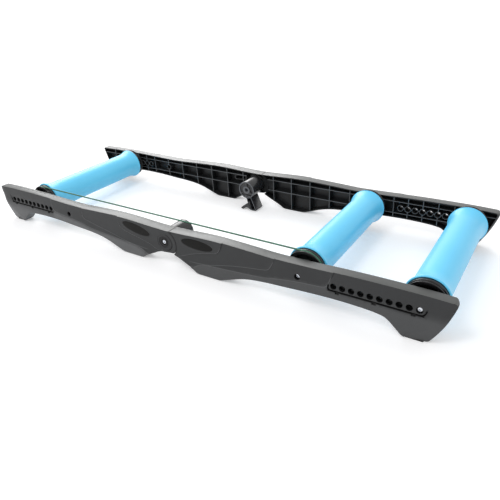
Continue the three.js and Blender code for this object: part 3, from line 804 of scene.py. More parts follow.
def hinge_relief(points):
    """Rings round the hinge bolt, and the hollow that is deeper towards the seam."""
    r, seam_side, bowl = hinge_places(points)
    rings = np.interp(r, RING_RADII, RING_LEVELS)
    groove = -BOWL_GROOVE * seam_side * smoothstep(3.6, 1.4, bowl) * smoothstep(-0.6, 0.6, bowl)
    lip = SEAM_LIP * smoothstep(0, 0.5, seam_side) * hump(r, 36, 2.4)
    return np.where(bowl > -0.6, (rings + groove) * smoothstep(-0.6, 0.6, bowl), lip)


def hinge_pit(points):
    """How deep in shade points lie, in the disc and the hollow round the hinge bolt."""
    r, seam_side, bowl = hinge_places(points)
    groove = smoothstep(0.1, 0.6, seam_side) * smoothstep(4.2, 2, bowl) * smoothstep(-0.3, 0.7, bowl)
    disc = np.interp(r, SHADE_RADII, SHADES)
    return np.maximum(disc, groove)


def seam_pit(points, half):
    """How deep in shade points lie, along the seam between the halves."""
    centre, radius = PIN[half], SEAT if half == "rear" else KNUCKLE
    away = np.linalg.norm(points - arr(centre), axis=1)
    facing = points[:, 0] > centre[0] if half == "rear" else points[:, 0] < centre[0]
    return smoothstep(SEAM_SHADE[1], SEAM_SHADE[0], np.abs(away - radius)) * facing


def tick_share(points):
    """One inside the small notches under the row's slot, and zero outside them."""
    share = np.zeros(len(points))
    for station in TICKS:
        share += smoothstep(TICK_MOUTH[0], TICK_FLOOR[0], np.abs(points[:, 0] - station))
    return share * smoothstep(TICK_MOUTH[1], TICK_FLOOR[1], np.abs(points[:, 1] - TICK_LEVEL))


def row_relief(points):
    """The pocket round the row of holes, the narrow slot under it and its small notches."""
    depth = depth_past(points, spline(POCKET, 6), POCKET_CORNERS)
    z = points[:, 1]
    pocket = POCKET_DEPTH * np.clip(1 - (z - 62) / 24, 0, 1) * smoothstep(-0.5, 0.5, depth)
    slot = SLOT_DEPTH * smoothstep(1.25, 0.7, np.abs(depth - 1.3)) * smoothstep(77, 66, z)
    return pocket + slot + TICK_DEPTH * tick_share(points) * (slot < 1)


def row_pit(points):
    """How deep in shade points lie, in the slot and the small notches of the row."""
    depth = depth_past(points, spline(POCKET, 6), POCKET_CORNERS)
    slot = smoothstep(1.8, 1.2, np.abs(depth - 1.05)) * smoothstep(80, 70, points[:, 1])
    return np.maximum(slot, tick_share(points))


def badge_gap(points, half):
    """How far each point lies outside the badge's edge."""
    tilt = BADGE_TILT[half]
    x, z = (points - BADGE_PLACE).T
    along, up = x * math.cos(tilt) + z * math.sin(tilt), z * math.cos(tilt) - x * math.sin(tilt)
    a, b = BADGE_SIZE
    share = np.sqrt((along / a)**2 + (up / b)**2)
    slope = np.sqrt((along / a**2)**2 + (up / b**2)**2)
    return share * (share - 1) / np.maximum(slope, 1e-6)


def badge_ring(half, out, count=96):
    """The badge's outline, moved outwards by a distance."""
    tilt = BADGE_TILT[half]
    angles = np.linspace(0, 2 * math.pi, count, endpoint=False)
    a, b = BADGE_SIZE
    ring = np.column_stack([a * np.cos(angles), b * np.sin(angles)])
    away = np.column_stack([b * np.cos(angles), a * np.sin(angles)])
    ring = ring + out * away / np.linalg.norm(away, axis=1)[:, None]
    spin = arr([(math.cos(tilt), math.sin(tilt)), (-math.sin(tilt), math.cos(tilt))])
    return ring @ spin + BADGE_PLACE


def outer_face(half):
    """The outward place of the outer face at any station and height."""
    lines = {name: panel_line(half, name) for name in PANELS[half]}
    crease = spline(TIP_CREASE, 5)

    def height(points):
        z = points[:, 1]
        rise = z - BASE_FROM
        y = FACE - BASE_LEAN * smoothstep(0, BASE_RISE, rise) * np.clip(rise / BASE_RUN, 0, 2)
        for name, line in lines.items():
            (z0, y0), (z1, y1) = PANEL_FACES[name]
            panel = y0 + (y1 - y0) * (z - z0) / (z1 - z0)
            depth = depth_past(points, line, PANEL_CORNERS)
            y = y + (panel - y) * smoothstep(-STEP, STEP, depth)
            y = y + BEAD * hump(depth, 1.1, 0.55) * smoothstep(100, 90, z)
        y = y - row_relief(points)
        tip = np.maximum(depth_past(points, crease, CREASE_CORNERS), 0)
        y = y - CREASE_LEAN * tip * smoothstep(0, 3, tip)
        gap = badge_gap(points, half)
        y = y + BADGE_BEAD * hump(gap, 2.4, 1.3) - BADGE_RECESS * smoothstep(0.34, 0.2, gap)
        if half == "front":
            y = y + hinge_relief(points)
        return y

    return height


# Distances at which the face's triangles follow its features: out from the badge's edge, from the
# middle of the bowl and of the hinge bolt, and aside from the lines of the steps
BADGE_ROWS = (0.2, 0.34, 1.2, 2.4, 3.6, 5)
BOWL_ROWS = (20.9, 22, 23.1, 23.9, 24.5, 25.1)
LIP_ROWS = (31, 33, 34.5, 36, 37.5)
PANEL_ROWS = (-0.5, 0, 0.5, 0.8, 1.1, 1.4, 1.9)
POCKET_ROWS = (-0.5, 0.05, 0.55, 0.9, 1.7, 2.05, 2.6)
CREASE_ROWS = (0, 2.5, 5)


def face_lines(half):
    """The lines that the outer face's triangles follow."""
    pin = arr(PIN[half])
    lines = [closed(badge_ring(half, d)) for d in BADGE_ROWS]
    for station in TICKS:
        lines += [closed(box_loop((station, TICK_LEVEL), *size)) for size in (TICK_FLOOR, TICK_MOUTH)]
    if half == "rear":
        lines += [arc(pin, SEAT + d, HOOK, math.pi / 4, 60) for d in SEAM_SHADE]
    else:
        lines += [arc(pin, KNUCKLE - d, 0.75 * math.pi, 1.5 * math.pi, 60) for d in SEAM_SHADE]
        lines += [closed(circle(pin, r, 48)) for r in RING_RADII[1:-1]]
        lines += [closed(circle(pin - BOWL_SHIFT, r, 56)) for r in BOWL_ROWS]
        lines += [closed(circle(pin, r, 64)) for r in LIP_ROWS]
    return lines


def edge_lines(half):
    """The lines along the steps of the outer face: the panels, the pocket and the crease."""
    moved = [(panel_line(half, name), PANEL_ROWS) for name in PANELS[half]]
    moved += [(spline(POCKET, 6), POCKET_ROWS), (spline(TIP_CREASE, 5), CREASE_ROWS)]
    return [shift_line(line, d) for line, distances in moved for d in distances]


def round_stack(shell, centre, steps, finish):
    """Rings round a bore, by pairs of radius and outward place."""
    shell.rings([flat(circle(centre, r, HOLE_FACETS), y) for r, y in steps], finish)


def hole_wall(shell, station, height):
    """A counterbored axle hole, and the boss round it on the inside."""
    centre = (station, AXLE_HEIGHT)
    mouth = circle(centre, COUNTERBORE + 0.5, HOLE_FACETS)
    face = height(mouth)
    room, foot = BOSS_ROOM, BOSS + 1.2
    crest, edge = INNER + 0.4, INNER + 0.9
    steps = [(COUNTERBORE + 0.5, face), (COUNTERBORE + 0.15, face - 0.15), (COUNTERBORE, face - 0.5)]
    steps += [(COUNTERBORE - 0.1, COUNTERBORE_FLOOR + 0.1), (BORE + 0.4, COUNTERBORE_FLOOR)]
    steps += [(BORE, COUNTERBORE_FLOOR - 0.4), (BORE, BOSS_FLOOR + 0.3), (BORE + 0.3, BOSS_FLOOR)]
    steps += [(room - 0.1, BOSS_FLOOR), (room, edge)]
    top = [(room, edge), (room + 0.3, crest), (BOSS - 0.3, crest), (BOSS, edge)]
    root = [(BOSS, edge), (BOSS + 0.3, FLOOR - 1), (BOSS + 0.6, FLOOR - 0.3), (foot, FLOOR)]
    # Painted shade: the hole near black and the boss's root as dark as the inside; the boss's top is a
    # painted highlight
    round_stack(shell, centre, steps, PIT)
    round_stack(shell, centre, top, RIM)
    round_stack(shell, centre, root, INSIDE)
    return mouth, circle(centre, foot, HOLE_FACETS)


def hinge_wall(shell, height):
    """The hinge bolt's counterbored hole in the front half's knuckle."""
    centre = PIN["front"]
    mouth = circle(centre, BOLT_HOLE, HOLE_FACETS)
    steps = [(BOLT_HOLE, height(mouth)), (BOLT_HOLE - 0.1, FACE - 5.4), (BORE, FACE - 5.5), (BORE, FLOOR)]
    # The hole is painted near black as shade
    round_stack(shell, centre, steps, PIT)
    return mouth, circle(centre, BORE, HOLE_FACETS)


def rib(shell, start, end, across):
    """A rib of a moulding: thin, a little thicker at its root, with a rounded top."""
    half = [(RIB_ROOT, FLOOR + 1)] + [(aside, RIB_TOP + drop) for aside, drop in RIB_CREST]
    section = [(-aside, y) for aside, y in half] + half[::-1]
    a, b = [
        shell.add([(s + r * (1 - across), y, z + r * across) for r, y in section]) for s, z in (start, end)
    ]
    # The rounded top takes the rim plastic, painted lighter as a highlight; the sides and ends take the
    # inside's painted shade
    for i in range(len(section)):
        j = (i + 1) % len(section)
        shell.face((a[i], a[j], b[j], b[i]), RIM if 1 <= i <= 5 else INSIDE)
    shell.face(a, INSIDE)
    shell.face(b, INSIDE)


def ribs(shell, loop, half):
    """Upright ribs, split where a boss stands on one, long ribs, and short ones from boss to boss."""
    for station in RIB_STATIONS:
        spans = crossings(loop, 0, station)
        ends = [spans[0] - RIB_REACH, spans[-1] + RIB_REACH]
        if station in HOLES:
            ends[1:1] = [AXLE_HEIGHT - BOSS + 1, AXLE_HEIGHT + BOSS - 1]
        for low, high in zip(ends[::2], ends[1::2]):
            rib(shell, (station, low), (station, high), 0)
    for level in RIB_LEVELS:
        rib(shell, (RIB_START[half], level), (crossings(loop, 1, level)[-1] + RIB_REACH, level), 1)
    for station in HOLES[1:-1]:
        near, far = station + BOSS - 1, station + HOLE_PITCH - BOSS + 1
        rib(shell, (near, AXLE_HEIGHT), (far, AXLE_HEIGHT), 1)


# Heights that tell the top edge from the rest of an outline, and at which the panels' steps reach it,
# and the rounding of the outer edge: its least, and what it gains away from the hinge and the top
UPPER = 80
NEAR_TOP = 95
STEP_TOP = 104
EDGE_ROUND = 0.7
EDGE_GAIN = 1.7


def edge_sizes(loop, half):
    """The rounding of the outer edge: small at the hinge and along the top, larger elsewhere."""
    away = np.linalg.norm(loop - arr(PIN[half]), axis=1)
    top = smoothstep(0.3, 0.8, -inward(loop)[:, 1]) * (loop[:, 1] > UPPER)
    return EDGE_ROUND + EDGE_GAIN * smoothstep(SEAT + 1, SEAT + 9, away) * (1 - top)


def sparse_loop(dense, half):
    """The outline with fewer points, but with all that the panel steps, the tip and the seam need."""
    steps = [crossings(closed(panel_line(half, panel)), 1, STEP_TOP)[-1] for panel in PANELS[half]]
    x, z = dense.T
    near_step = np.any([np.abs(x - step) < 2.4 for step in steps], axis=0) & (z > UPPER)
    near_tip = (x > HALF_LENGTH - TIP_CORNER - 4) & (z > NEAR_TOP) & (np.arange(len(dense)) % 2 == 0)
    near_seam = (x < x[0] + 4) & (z > NEAR_TOP)
    return dense[thin(dense, near_step | near_tip | near_seam)]


def outer_rows(loop, half, height):
    """The rows of the outside: the rounded outer edge, the wall and the cut edge at the open side."""
    edge = edge_sizes(loop, half)
    face = height(offset(loop, edge))
    turns = np.linspace(0, math.pi / 2, 6)
    steps = [(edge * (1 - math.sin(angle)), face - edge * (1 - math.cos(angle))) for angle in turns]
    steps += [(0, INNER + y) for y in WALL_ROWS]
    return stack(loop, steps + [(EDGE_CUT, INNER + EDGE_CUT), (EDGE, INNER)])


def rail(half):
    """One half rail as a closed moulding, with ribs and hinge parts let into it."""
    shell = Shell()
    height = outer_face(half)
    dense = rail_loop(half)
    loop = sparse_loop(dense, half)
    rows = outer_rows(loop, half, height)
    made = [shell.add(row) for row in rows]
    # The top flange takes the top plastic, painted lighter than the outer faces for its sheen
    upward = (-inward(loop)[:, 1] > 0.6) & (loop[:, 1] > UPPER)
    for k, (a, b) in enumerate(zip(made, made[1:])):
        for i in range(len(loop)):
            j = (i + 1) % len(loop)
            shell.face((a[i], a[j], b[j], b[i]), TOP if upward[i] and k > 1 else OUTSIDE)

    room = inner_loop(dense, WALL)
    room = room[thin(room)]
    steps = [(-EDGE, INNER), (-EDGE_CUT, INNER + EDGE_CUT)] + [(0, INNER + y) for y in ROOM_ROWS]
    steps += [(0, FLOOR - FLOOR_CURVE), (0.2, FLOOR - 0.2), (FLOOR_CURVE, FLOOR)]
    # The inside takes the darker plastic, which is painted shade
    shell.rings(stack(room, steps), INSIDE)
    fill(shell, offset(loop, EDGE), [offset(room, -EDGE)], [], INNER, NO_SPARE, INSIDE)

    walls = [hole_wall(shell, station, height) for station in HOLES]
    if half == "front":
        walls.append(hinge_wall(shell, height))
    mouths, roots = zip(*walls)
    fill(shell, rows[0][:, [0, 2]], mouths, edge_lines(half) + face_lines(half), height, FACE_SPACING)
    fill(shell, offset(room, FLOOR_CURVE), roots, [], FLOOR, FLOOR_SPACING, INSIDE)

    ribs(shell, room, half)
    if half == "rear":
        ear(shell)
    else:
        finger(shell)
        row_marks(shell)
    round_tip(shell, half)
    return shell


def round_tip(shell, half):
    """Rounds the rail's inner corner at the tip, seen from above."""
    points = arr(shell.points)
    tip = tip_station(points[:, 2], half)
    u = (TIP_CORNER - (tip - points[:, 0])) / TIP_CORNER
    v = (TIP_CORNER - (points[:, 1] - INNER)) / TIP_CORNER
    near = (u > 0) & (v > 0)
    u, v = np.clip(u, 0, 1), np.clip(v, 0, 1)
    points[near, 0] -= (TIP_CORNER * u * (1 - np.sqrt(1 - v * v / 2)))[near]
    points[near, 1] += (TIP_CORNER * v * (1 - np.sqrt(1 - u * u / 2)))[near]
    shell.points = [tuple(p) for p in points]


# A dash on the top flange, in sections: how far along from its hole, and how high over the flange
DASH = [(-3.2, -0.3), (-2.9, 0.16), (-2.4, 0.26), (2.4, 0.26), (2.9, 0.16), (3.2, -0.3)]
DASH_PLACE = INNER + 8


def row_marks(shell):
    """A plain raised dash on the top flange at each hole of the row."""
    ridge = top_edge()
    for station in HOLES[1:]:
        loops = []
        for along, top in DASH:
            level = np.interp(station + along, *ridge.T)
            wide = 1.3 if abs(along) < 3 else 0.9
            section = [(-wide, -0.6), (-wide, top - 0.1), (-wide + 0.3, top)]
            section += [(-y, z) for y, z in section[::-1]]
            loops.append([(station + along, DASH_PLACE + y, level + z) for y, z in section])
        shell.capped(loops, INSIDE)


def ear(shell):
    """The rear half's round ear, which sits inside the front half's knuckle, and its neck."""
    back = FLOOR - 0.4
    profile = rounded([(BORE, EAR_FACE), (EAR, EAR_FACE), (EAR, back), (BORE, back)], 0.8)
    turn(shell, profile, 72, HINGE, INSIDE)
    low, high = EAR_FACE - 0.5, EAR_FACE + 1
    ring = [(EAR_RING[0], high), (EAR_RING[1], high), (EAR_RING[1], low), (EAR_RING[0], low)]
    turn(shell, rounded(ring, 0.4), 64, HINGE, INSIDE)
    start, end = HINGE[0] + 10, HINGE[0] + SEAT + NECK[0]
    loop = box_loop(((start + end) / 2, HINGE[1]), (end - start) / 2, NECK[1])
    slab(shell, evenly(loop, 4), EAR_FACE, FLOOR + 1, 0.6, INSIDE)


FINGER_OUTSIDE = ((52, 82), (84, 79), 8)
FINGER_INSIDE = ((54, 81.8), (82, 79.2), 5.6)


def finger(shell):
    """A long rounded loop of rib beside the knuckle, at the height of the rail's rim."""
    outer = stadium(*FINGER_OUTSIDE)
    inner = stadium(*FINGER_INSIDE)
    rows = stack(outer, [(0, FLOOR + 1), (0, EAR_FACE + 0.5), (0.5, EAR_FACE)])
    rows += stack(inner, [(-0.5, EAR_FACE), (0, EAR_FACE + 0.5), (0, FLOOR + 1)])
    shell.hoop(rows, INSIDE)


# The heights and the stations over which the dark ground of the row of holes fades in
ROW_RISE = (28, 76)
ROW_FADE = (440, 460)


def mark_panels(thing, half):
    """Shares for the rail's outer face: on a raised panel, where a highlight is painted along a panel's
    edge, and deep in painted shade.
    """
    places = np.empty(len(thing.data.vertices) * 3)
    thing.data.vertices.foreach_get("co", places)
    x, y, z = places.reshape(-1, 3).T / MM
    points = np.column_stack([x * HALVES[half], z])
    row = smoothstep(*ROW_RISE, z) * smoothstep(*ROW_FADE, points[:, 0])
    depths = [depth_past(points, panel_line(half, name), PANEL_CORNERS) for name in PANELS[half]]
    panel = np.maximum.reduce([row] + [smoothstep(-4, 4, depth) for depth in depths])
    # Painted shade: the rear skirt takes much of the panels' darker tone
    if half == "rear":
        panel = np.maximum(panel, REAR_SKIRT_PAINTED_SHADE)
    # The painted highlight lies on the bead beside each panel's step
    edge_highlight = 0.5 * np.max([hump(depth, 0.9, 0.6) for depth in depths], axis=0) * smoothstep(98, 88, z)
    pit = row_pit(points)
    if half == "front":
        pit = np.maximum(pit, hinge_pit(points))
    pit = np.maximum(pit * smoothstep(FLOOR - 4, FLOOR, np.abs(y)), seam_pit(points, half))
    for name, values in (("panel", panel), ("edge_highlight", edge_highlight), ("pit", pit)):
        thing.data.attributes.new(name, "FLOAT", "POINT").data.foreach_set("value", values)


for half, along in HALVES.items():
    made = rail(half)
    for side, across in SIDES.items():
        thing = dress(f"{side}_{half}_rail", made, RAIL_PLASTIC_LIT_AND_SHADED, (along, across))
        mark_panels(thing, half)


# Badge plates and pads

BADGE_BACK = FACE - 1.3
BADGE_RIM = FACE - 0.15
BADGE_CROWN = 0.22


def badge_plate(half):
    """A thin oval plate with a rounded edge and a slightly crowned face."""
    steps = [(-0.4, BADGE_BACK), (0, BADGE_BACK + 0.4), (0, BADGE_RIM), (-0.15, BADGE_RIM + 0.2)]
    rows = [flat(badge_ring(half, out), y) for out, y in steps]
    rim, top = badge_ring(half, -0.6), BADGE_RIM + 0.32
    for share in (1, 0.93, 0.82, 0.66, 0.46, 0.24, 0.06):
        rows.append(flat(BADGE_PLACE + (rim - BADGE_PLACE) * share, top + BADGE_CROWN * (1 - share * share)))
    return solid(rows)


PAD_INSET = 4
PAD_CORNER = 3
PAD_STEP = 0.5
PAD_LEVELS = [(0.5, 0), (0.15, 0.15), (0, 0.5), (0, 1.6), (0.3, 2)]


def pad(start, end):
    """A rubber pad under a foot, laid out in station and outward place."""
    half_s, half_y = (end - start) / 2 - PAD_INSET, (FACE - INNER) / 2 - PAD_INSET
    corners = box_loop(((start + end) / 2, (FACE + INNER) / 2), half_s, half_y)
    loop = evenly(corners, PAD_STEP)
    for i in (0, 3, 1, 2):
        loop = soften(loop, corners[i], PAD_CORNER, PAD_STEP)
    return solid([np.column_stack([offset(loop, inset), np.full(len(loop), z)]) for inset, z in PAD_LEVELS])


for half, along in HALVES.items():
    made = badge_plate(half)
    for side, across in SIDES.items():
        dress(f"{side}_{half}_badge", made, [BADGE_PLATE], (along, across))

for half, along in HALVES.items():
    for foot, (start, end) in {"middle": MID_FOOT, "end": END_FOOT}.items():
        made = pad(start, end)
        for side, across in SIDES.items():
            dress(f"{side}_{half}_{foot}_pad", made, [RUBBER], (along, across))


# Drums, caps, bearings, axles, spacers and bolts

DRUM_END = 184
DRUM_FACETS = 128
WAIST = 41.3
FLARE = 46
FLARE_RISE = 7.2
FLARE_POWER = 2.2
DRUM_SKIN = 3.7

# The drum's lip, by how far inwards from its widest and how far back from its end
DRUM_LIP = [(0.04, 2.8), (0.1, 1.9), (0.45, 1.1), (1.1, 0.5), (2, 0.12), (2.9, 0), (3.4, 0.2), (3.7, 0.7),
            (3.7, 6.3), (4.7, 6.3)]

CAP_END = 200
CAP_RADIUS = 44.5
CAP_SPIGOT = 41.5
CAP_BACK = 178
CAP_DISH = (19.3, 36.9, 190)
CAP_WEB = 184.7
CAP_HOLE = 9
SEAT_RADIUS = 16.3
SEAT_START = 187.7
BELT_PLACE = 194
GROOVE_ROOT = 39.9
GROOVE_HALF = (1.5, 3.5)

BEARING = (188, 198)
SLEEVE = 6.3
SPACER_RADIUS = 8.5
SPACER = (198.3, 208.7)
AXLE_END = [(6, 208), (5.3, 208.7), (4.7, 208.7), (4.3, 208.3), (4.3, 188.4), (1, 187)]

AXLE_BOLT = {"shank_end": 188.9, "head": 5.25, "head_start": 226.8, "head_end": 232.8}
HINGE_BOLT = {"shank_end": 155, "head": 5.5, "head_start": 234.8, "head_end": 238.3}
BOLT_SHANK = 4
BOLT_FACETS = 24
SOCKET = 5
SOCKET_DEPTH = 2.8
# The front bolts are zinc too; their heads are given dark steel as painted shade, since they lie in shade
# deep in their holes
BOLT_HEAD_ZINC_AND_SHADE = {"front": DARK_STEEL_AND_SHADE, "middle": ZINC, "rear": ZINC}


def turned(x, profile, count, finish=0):
    """A shell turned round the axle at one place along the frame."""
    shell = Shell()
    turn(shell, profile, count, (x, AXLE_HEIGHT), finish)
    return shell


def both_ends(end):
    """A profile of one end, and the same mirrored for the other end."""
    return end + [(r, -y) for r, y in end][::-1]


def drum_shell(x):
    """A tube with a flare at each end and a rounded lip, open for the caps."""
    share = np.linspace(0, 1, 15)
    rise, place = FLARE_RISE * share**FLARE_POWER, DRUM_END - FLARE * (1 - share)
    outer = list(zip(WAIST + rise, place))[:-1]
    lip = [(WAIST + FLARE_RISE - inwards, DRUM_END - back) for inwards, back in DRUM_LIP]
    inner = list(zip(WAIST - DRUM_SKIN + rise, place))[:-3][::-1]
    return turned(x, both_ends(outer + lip + inner), DRUM_FACETS)


def cap_shell(x):
    """A dished cap with a bearing seat in its hub, a spigot into the drum and a groove for the belt."""
    hub, dish, floor = CAP_DISH
    near, far = GROOVE_HALF
    profile = [
        (SEAT_RADIUS, CAP_END), (hub, CAP_END), (hub, floor), (dish, floor), (dish, CAP_END),
        (CAP_RADIUS, CAP_END), (CAP_RADIUS, BELT_PLACE + far), (GROOVE_ROOT, BELT_PLACE + near),
        (GROOVE_ROOT, BELT_PLACE - near), (CAP_RADIUS, BELT_PLACE - far), (CAP_RADIUS, CAP_BACK),
        (CAP_SPIGOT, CAP_BACK), (CAP_SPIGOT, CAP_WEB), (CAP_HOLE, CAP_WEB), (CAP_HOLE, SEAT_START),
        (SEAT_RADIUS, SEAT_START),
    ]
    reach = [0.5, 0.7, 1.5, 1.5, 0.8, 1.2, 0.9, 1.2, 1.2, 0.9, 0.6, 0.6, 1, 0.4, 0.4, 0.4]
    return turned(x, rounded(profile, reach, 4), 96)


def bearing_shell(x):
    """Two steel rings with a seal set back between them, at each face."""
    start, end = BEARING
    radii = (SLEEVE, 6.8, 8.6, 8.9, 9.1, 13.1, 13.4, 13.7, 15.5, 16)
    backs = (0.5, 0, 0, 0.3, 0.8)
    seals = (0, 0, 0, 0, 1, 1, 1, 0, 0, 0)
    front = [(r, end - back) for r, back in zip(radii, backs + backs[::-1])]
    rear = [(r, start + end - y) for r, y in front][::-1]
    return turned(x, front + rear, 64, seals + seals[::-1])


def spacer_shell(x):
    start, end = SPACER
    corners = [(SLEEVE, start), (SPACER_RADIUS, start), (SPACER_RADIUS, end), (SLEEVE, end)]
    return turned(x, rounded(corners, 0.5), 40)


def hexagon(centre, flats, count=BOLT_FACETS):
    """Points round a hexagon, as many as a circle's, so that the two can be joined."""
    angles = np.arange(count) * 2 * math.pi / count
    reach = flats / 2 / np.cos((angles + math.pi / 6) % (math.pi / 3) - math.pi / 6)
    return arr(centre) + reach[:, None] * np.column_stack([np.cos(angles), np.sin(angles)])


def bolt_shell(centre, shank_end, head, head_start, head_end):
    """A bolt with a rounded head and a hexagon socket, its head outwards and its inner end dark."""
    shell = Shell()
    steps = [(0.3, shank_end), (BOLT_SHANK - 0.8, shank_end), (BOLT_SHANK, shank_end + 0.8)]
    steps += [(BOLT_SHANK, head_start), (head - 0.25, head_start), (head, head_start + 0.3)]
    steps += [(head, head_end - 0.9), (head - 0.15, head_end - 0.4), (head - 0.5, head_end - 0.1)]
    steps += [(head - 0.9, head_end)]
    rows = [flat(circle(centre, r, BOLT_FACETS), y) for r, y in steps]
    for flats, depth in ((SOCKET + 0.5, 0), (SOCKET, 0.4), (SOCKET - 0.1, SOCKET_DEPTH)):
        rows.append(flat(hexagon(centre, flats), head_end - depth))
    rows.append(flat(circle(centre, 0.6, BOLT_FACETS), head_end - SOCKET_DEPTH - 0.4))
    inner_end = shell.rings(rows[:3], 1)
    made = shell.rings(rows[2:])
    shell.face(inner_end[0], 1)
    shell.face(made[-1])
    return shell


def drum_set(name, x):
    """A drum with its axle, and on each side a cap, a bearing, a spacer and a bolt."""
    dress(f"{name}_drum", drum_shell(x), [DRUM])
    dress(f"{name}_axle", turned(x, both_ends(AXLE_END), 40), [TURNED])
    bolt = bolt_shell((x, AXLE_HEIGHT), **AXLE_BOLT)
    for side, across in SIDES.items():
        dress(f"{name}_drum_{side}_cap", cap_shell(x), [BLACK], (1, across))
        dress(f"{name}_drum_{side}_bearing", bearing_shell(x), [TURNED, SEAL], (1, across))
        dress(f"{name}_axle_{side}_spacer", spacer_shell(x), [BLACK], (1, across))
        # The front bolts' heads are painted dark, as shade
        dress(f"{name}_axle_{side}_bolt", bolt, [BOLT_HEAD_ZINC_AND_SHADE[name], DARK_STEEL_AND_SHADE], (1, across))


for name, x in DRUM_X.items():
    drum_set(name, x)


# Hinge bolt, nut and lock lever

NUT = (155, 163)
NUT_FLATS = 10.2
NUT_FACE = 5
BARREL_START = 150
BARREL_END = 211.7
BARREL_RADIUS = 27.5
BARREL_ROOM = 24
BARREL_HUB = 12
BARREL_FLOOR = (4, 8)
TUBE_RADIUS = 8.5
TUBE_BORE = 4.3
NUT_ROOM_END = 163.3
SPOKES = 3
SPOKE = (10.5, 25.5, 3)
SPOKE_LEVELS = (0.4, 5)
SPOKE_STEP = 1.5

# Outlines of the lever's leg and toe, in shares of a width and of the hinge's height over the floor
LEVER_SPAN = (33, HINGE[1] - 1.5)
LEG = [(0.45, -0.27), (1, -0.95), (0.97, -0.985), (0.5, -1), (0.1, -0.657), (-0.06, -0.4), (-0.2, -0.27)]
TOE = [(0.30, -0.5), (0.53, -1), (0.35, -0.985), (0.18, -0.93), (0.05, -0.895), (-0.1, -0.89),
       (-0.25, -0.92), (-0.37, -0.965), (-0.45, -1), (-0.62, -1), (-0.72, -0.975), (-0.75, -0.945),
       (0.08, -0.64)]
LEG_DEPTH = 40
LEG_WALL = 3
TOE_DEPTH = 24
LEVER_STEP = 0.6


def nut_shell():
    """A hexagon nut with cut corners, on the hinge bolt's inner end."""
    start, end = NUT
    low, high = start + 0.6, end - 0.6
    steps = [(circle, BORE, low), (circle, BORE + 0.6, start), (circle, NUT_FACE, start)]
    steps += [(hexagon, NUT_FLATS, low), (hexagon, NUT_FLATS, high)]
    steps += [(circle, NUT_FACE, end), (circle, BORE, end)]
    shell = Shell()
    shell.hoop([flat(shape(HINGE, size, BOLT_FACETS), y) for shape, size, y in steps])
    return shell


def barrel(shell):
    """The lever's barrel: a drum with a dished end, three spokes and a tube round the bolt."""
    dish, web = BARREL_START + BARREL_FLOOR[0], BARREL_START + BARREL_FLOOR[1]
    profile = [
        (SLEEVE, BARREL_START), (BARREL_HUB, BARREL_START), (BARREL_HUB, dish), (BARREL_ROOM, dish),
        (BARREL_ROOM, BARREL_START), (BARREL_RADIUS, BARREL_START), (BARREL_RADIUS, BARREL_END),
        (BARREL_ROOM, BARREL_END), (BARREL_ROOM, web), (TUBE_RADIUS, web), (TUBE_RADIUS, BARREL_END),
        (TUBE_BORE, BARREL_END), (TUBE_BORE, NUT_ROOM_END), (SLEEVE, NUT_ROOM_END),
    ]
    reach = [0.5, 0.7, 1.2, 1.2, 0.7, 2.2, 1.2, 0.8, 1, 1, 0.5, 0.5, 0.4, 0.4]
    curved = rounded(profile, reach, 4)
    turn(shell, curved, 96, HINGE, [int(y < BARREL_START + 1.2) for _, y in curved])
    near, far, half_wide = SPOKE
    corners = box_loop(((near + far) / 2, 0), (far - near) / 2, half_wide)
    for i in range(SPOKES):
        angle = math.pi / 2 + 2 * math.pi * i / SPOKES
        along = arr((math.cos(angle), math.sin(angle)))
        aside = arr((-along[1], along[0]))
        loop = arr(HINGE) + corners[:, :1] * along + corners[:, 1:] * aside
        low, high = SPOKE_LEVELS
        slab(shell, evenly(loop, SPOKE_STEP), BARREL_START + low, BARREL_START + high, 0.5)


def lever_loop(shares):
    """The leg's or the toe's outline, with rounded corners, running so that inwards is to its left."""
    points = arr(shares) * LEVER_SPAN + HINGE
    loop = evenly(points, LEVER_STEP)
    for corner in points:
        loop = soften(loop, corner, 3 * LEVER_STEP, LEVER_STEP)
    area = np.sum(loop[:, 0] * np.roll(loop[:, 1], -1) - np.roll(loop[:, 0], -1) * loop[:, 1])
    return loop if area > 0 else loop[::-1]


def hollow_block(shell, loop, open_y, back_y, wall):
    """A block that is open at one end, with a wall all round and a floor at the other end."""
    loop = loop[thin(loop, turn=6)]
    steps = [(0.7, back_y), (0.2, back_y - 0.2), (0, back_y - 0.7), (0, open_y + 0.5), (0.5, open_y)]
    shell.face(shell.rings(stack(loop, steps))[0])
    room = inner_loop(evenly(loop, 0.5), wall)
    room = room[thin(room, turn=6)]
    inner = shell.rings(stack(room, [(-0.4, open_y), (0, open_y + 0.4), (0, back_y - wall)]))
    shell.face(inner[-1])
    fill(shell, offset(loop, 0.5), [offset(room, -0.4)], [], open_y, NO_SPARE, 1)


def lever_shell():
    """The lock lever: its barrel, its hollow leg and its toe, with light rims at their mouths."""
    shell = Shell()
    barrel(shell)
    hollow_block(shell, lever_loop(LEG), BARREL_START, BARREL_START + LEG_DEPTH, LEG_WALL)
    slab(shell, lever_loop(TOE), BARREL_START, BARREL_START + TOE_DEPTH, 0.9)
    return shell


for side, across in SIDES.items():
    dress(f"{side}_hinge_bolt", bolt_shell(HINGE, **HINGE_BOLT), [ZINC, DARK_STEEL_AND_SHADE], (1, across))
    dress(f"{side}_hinge_nut", nut_shell(), [DARK_STEEL_AND_SHADE], (1, across))
    dress(f"{side}_lock_lever", lever_shell(), [LEVER, LEVER_RIM], (1, across))


# Drive belt

BELT_RUN = 42.5
BELT_RADIUS = 2
BELT_FACETS = 16


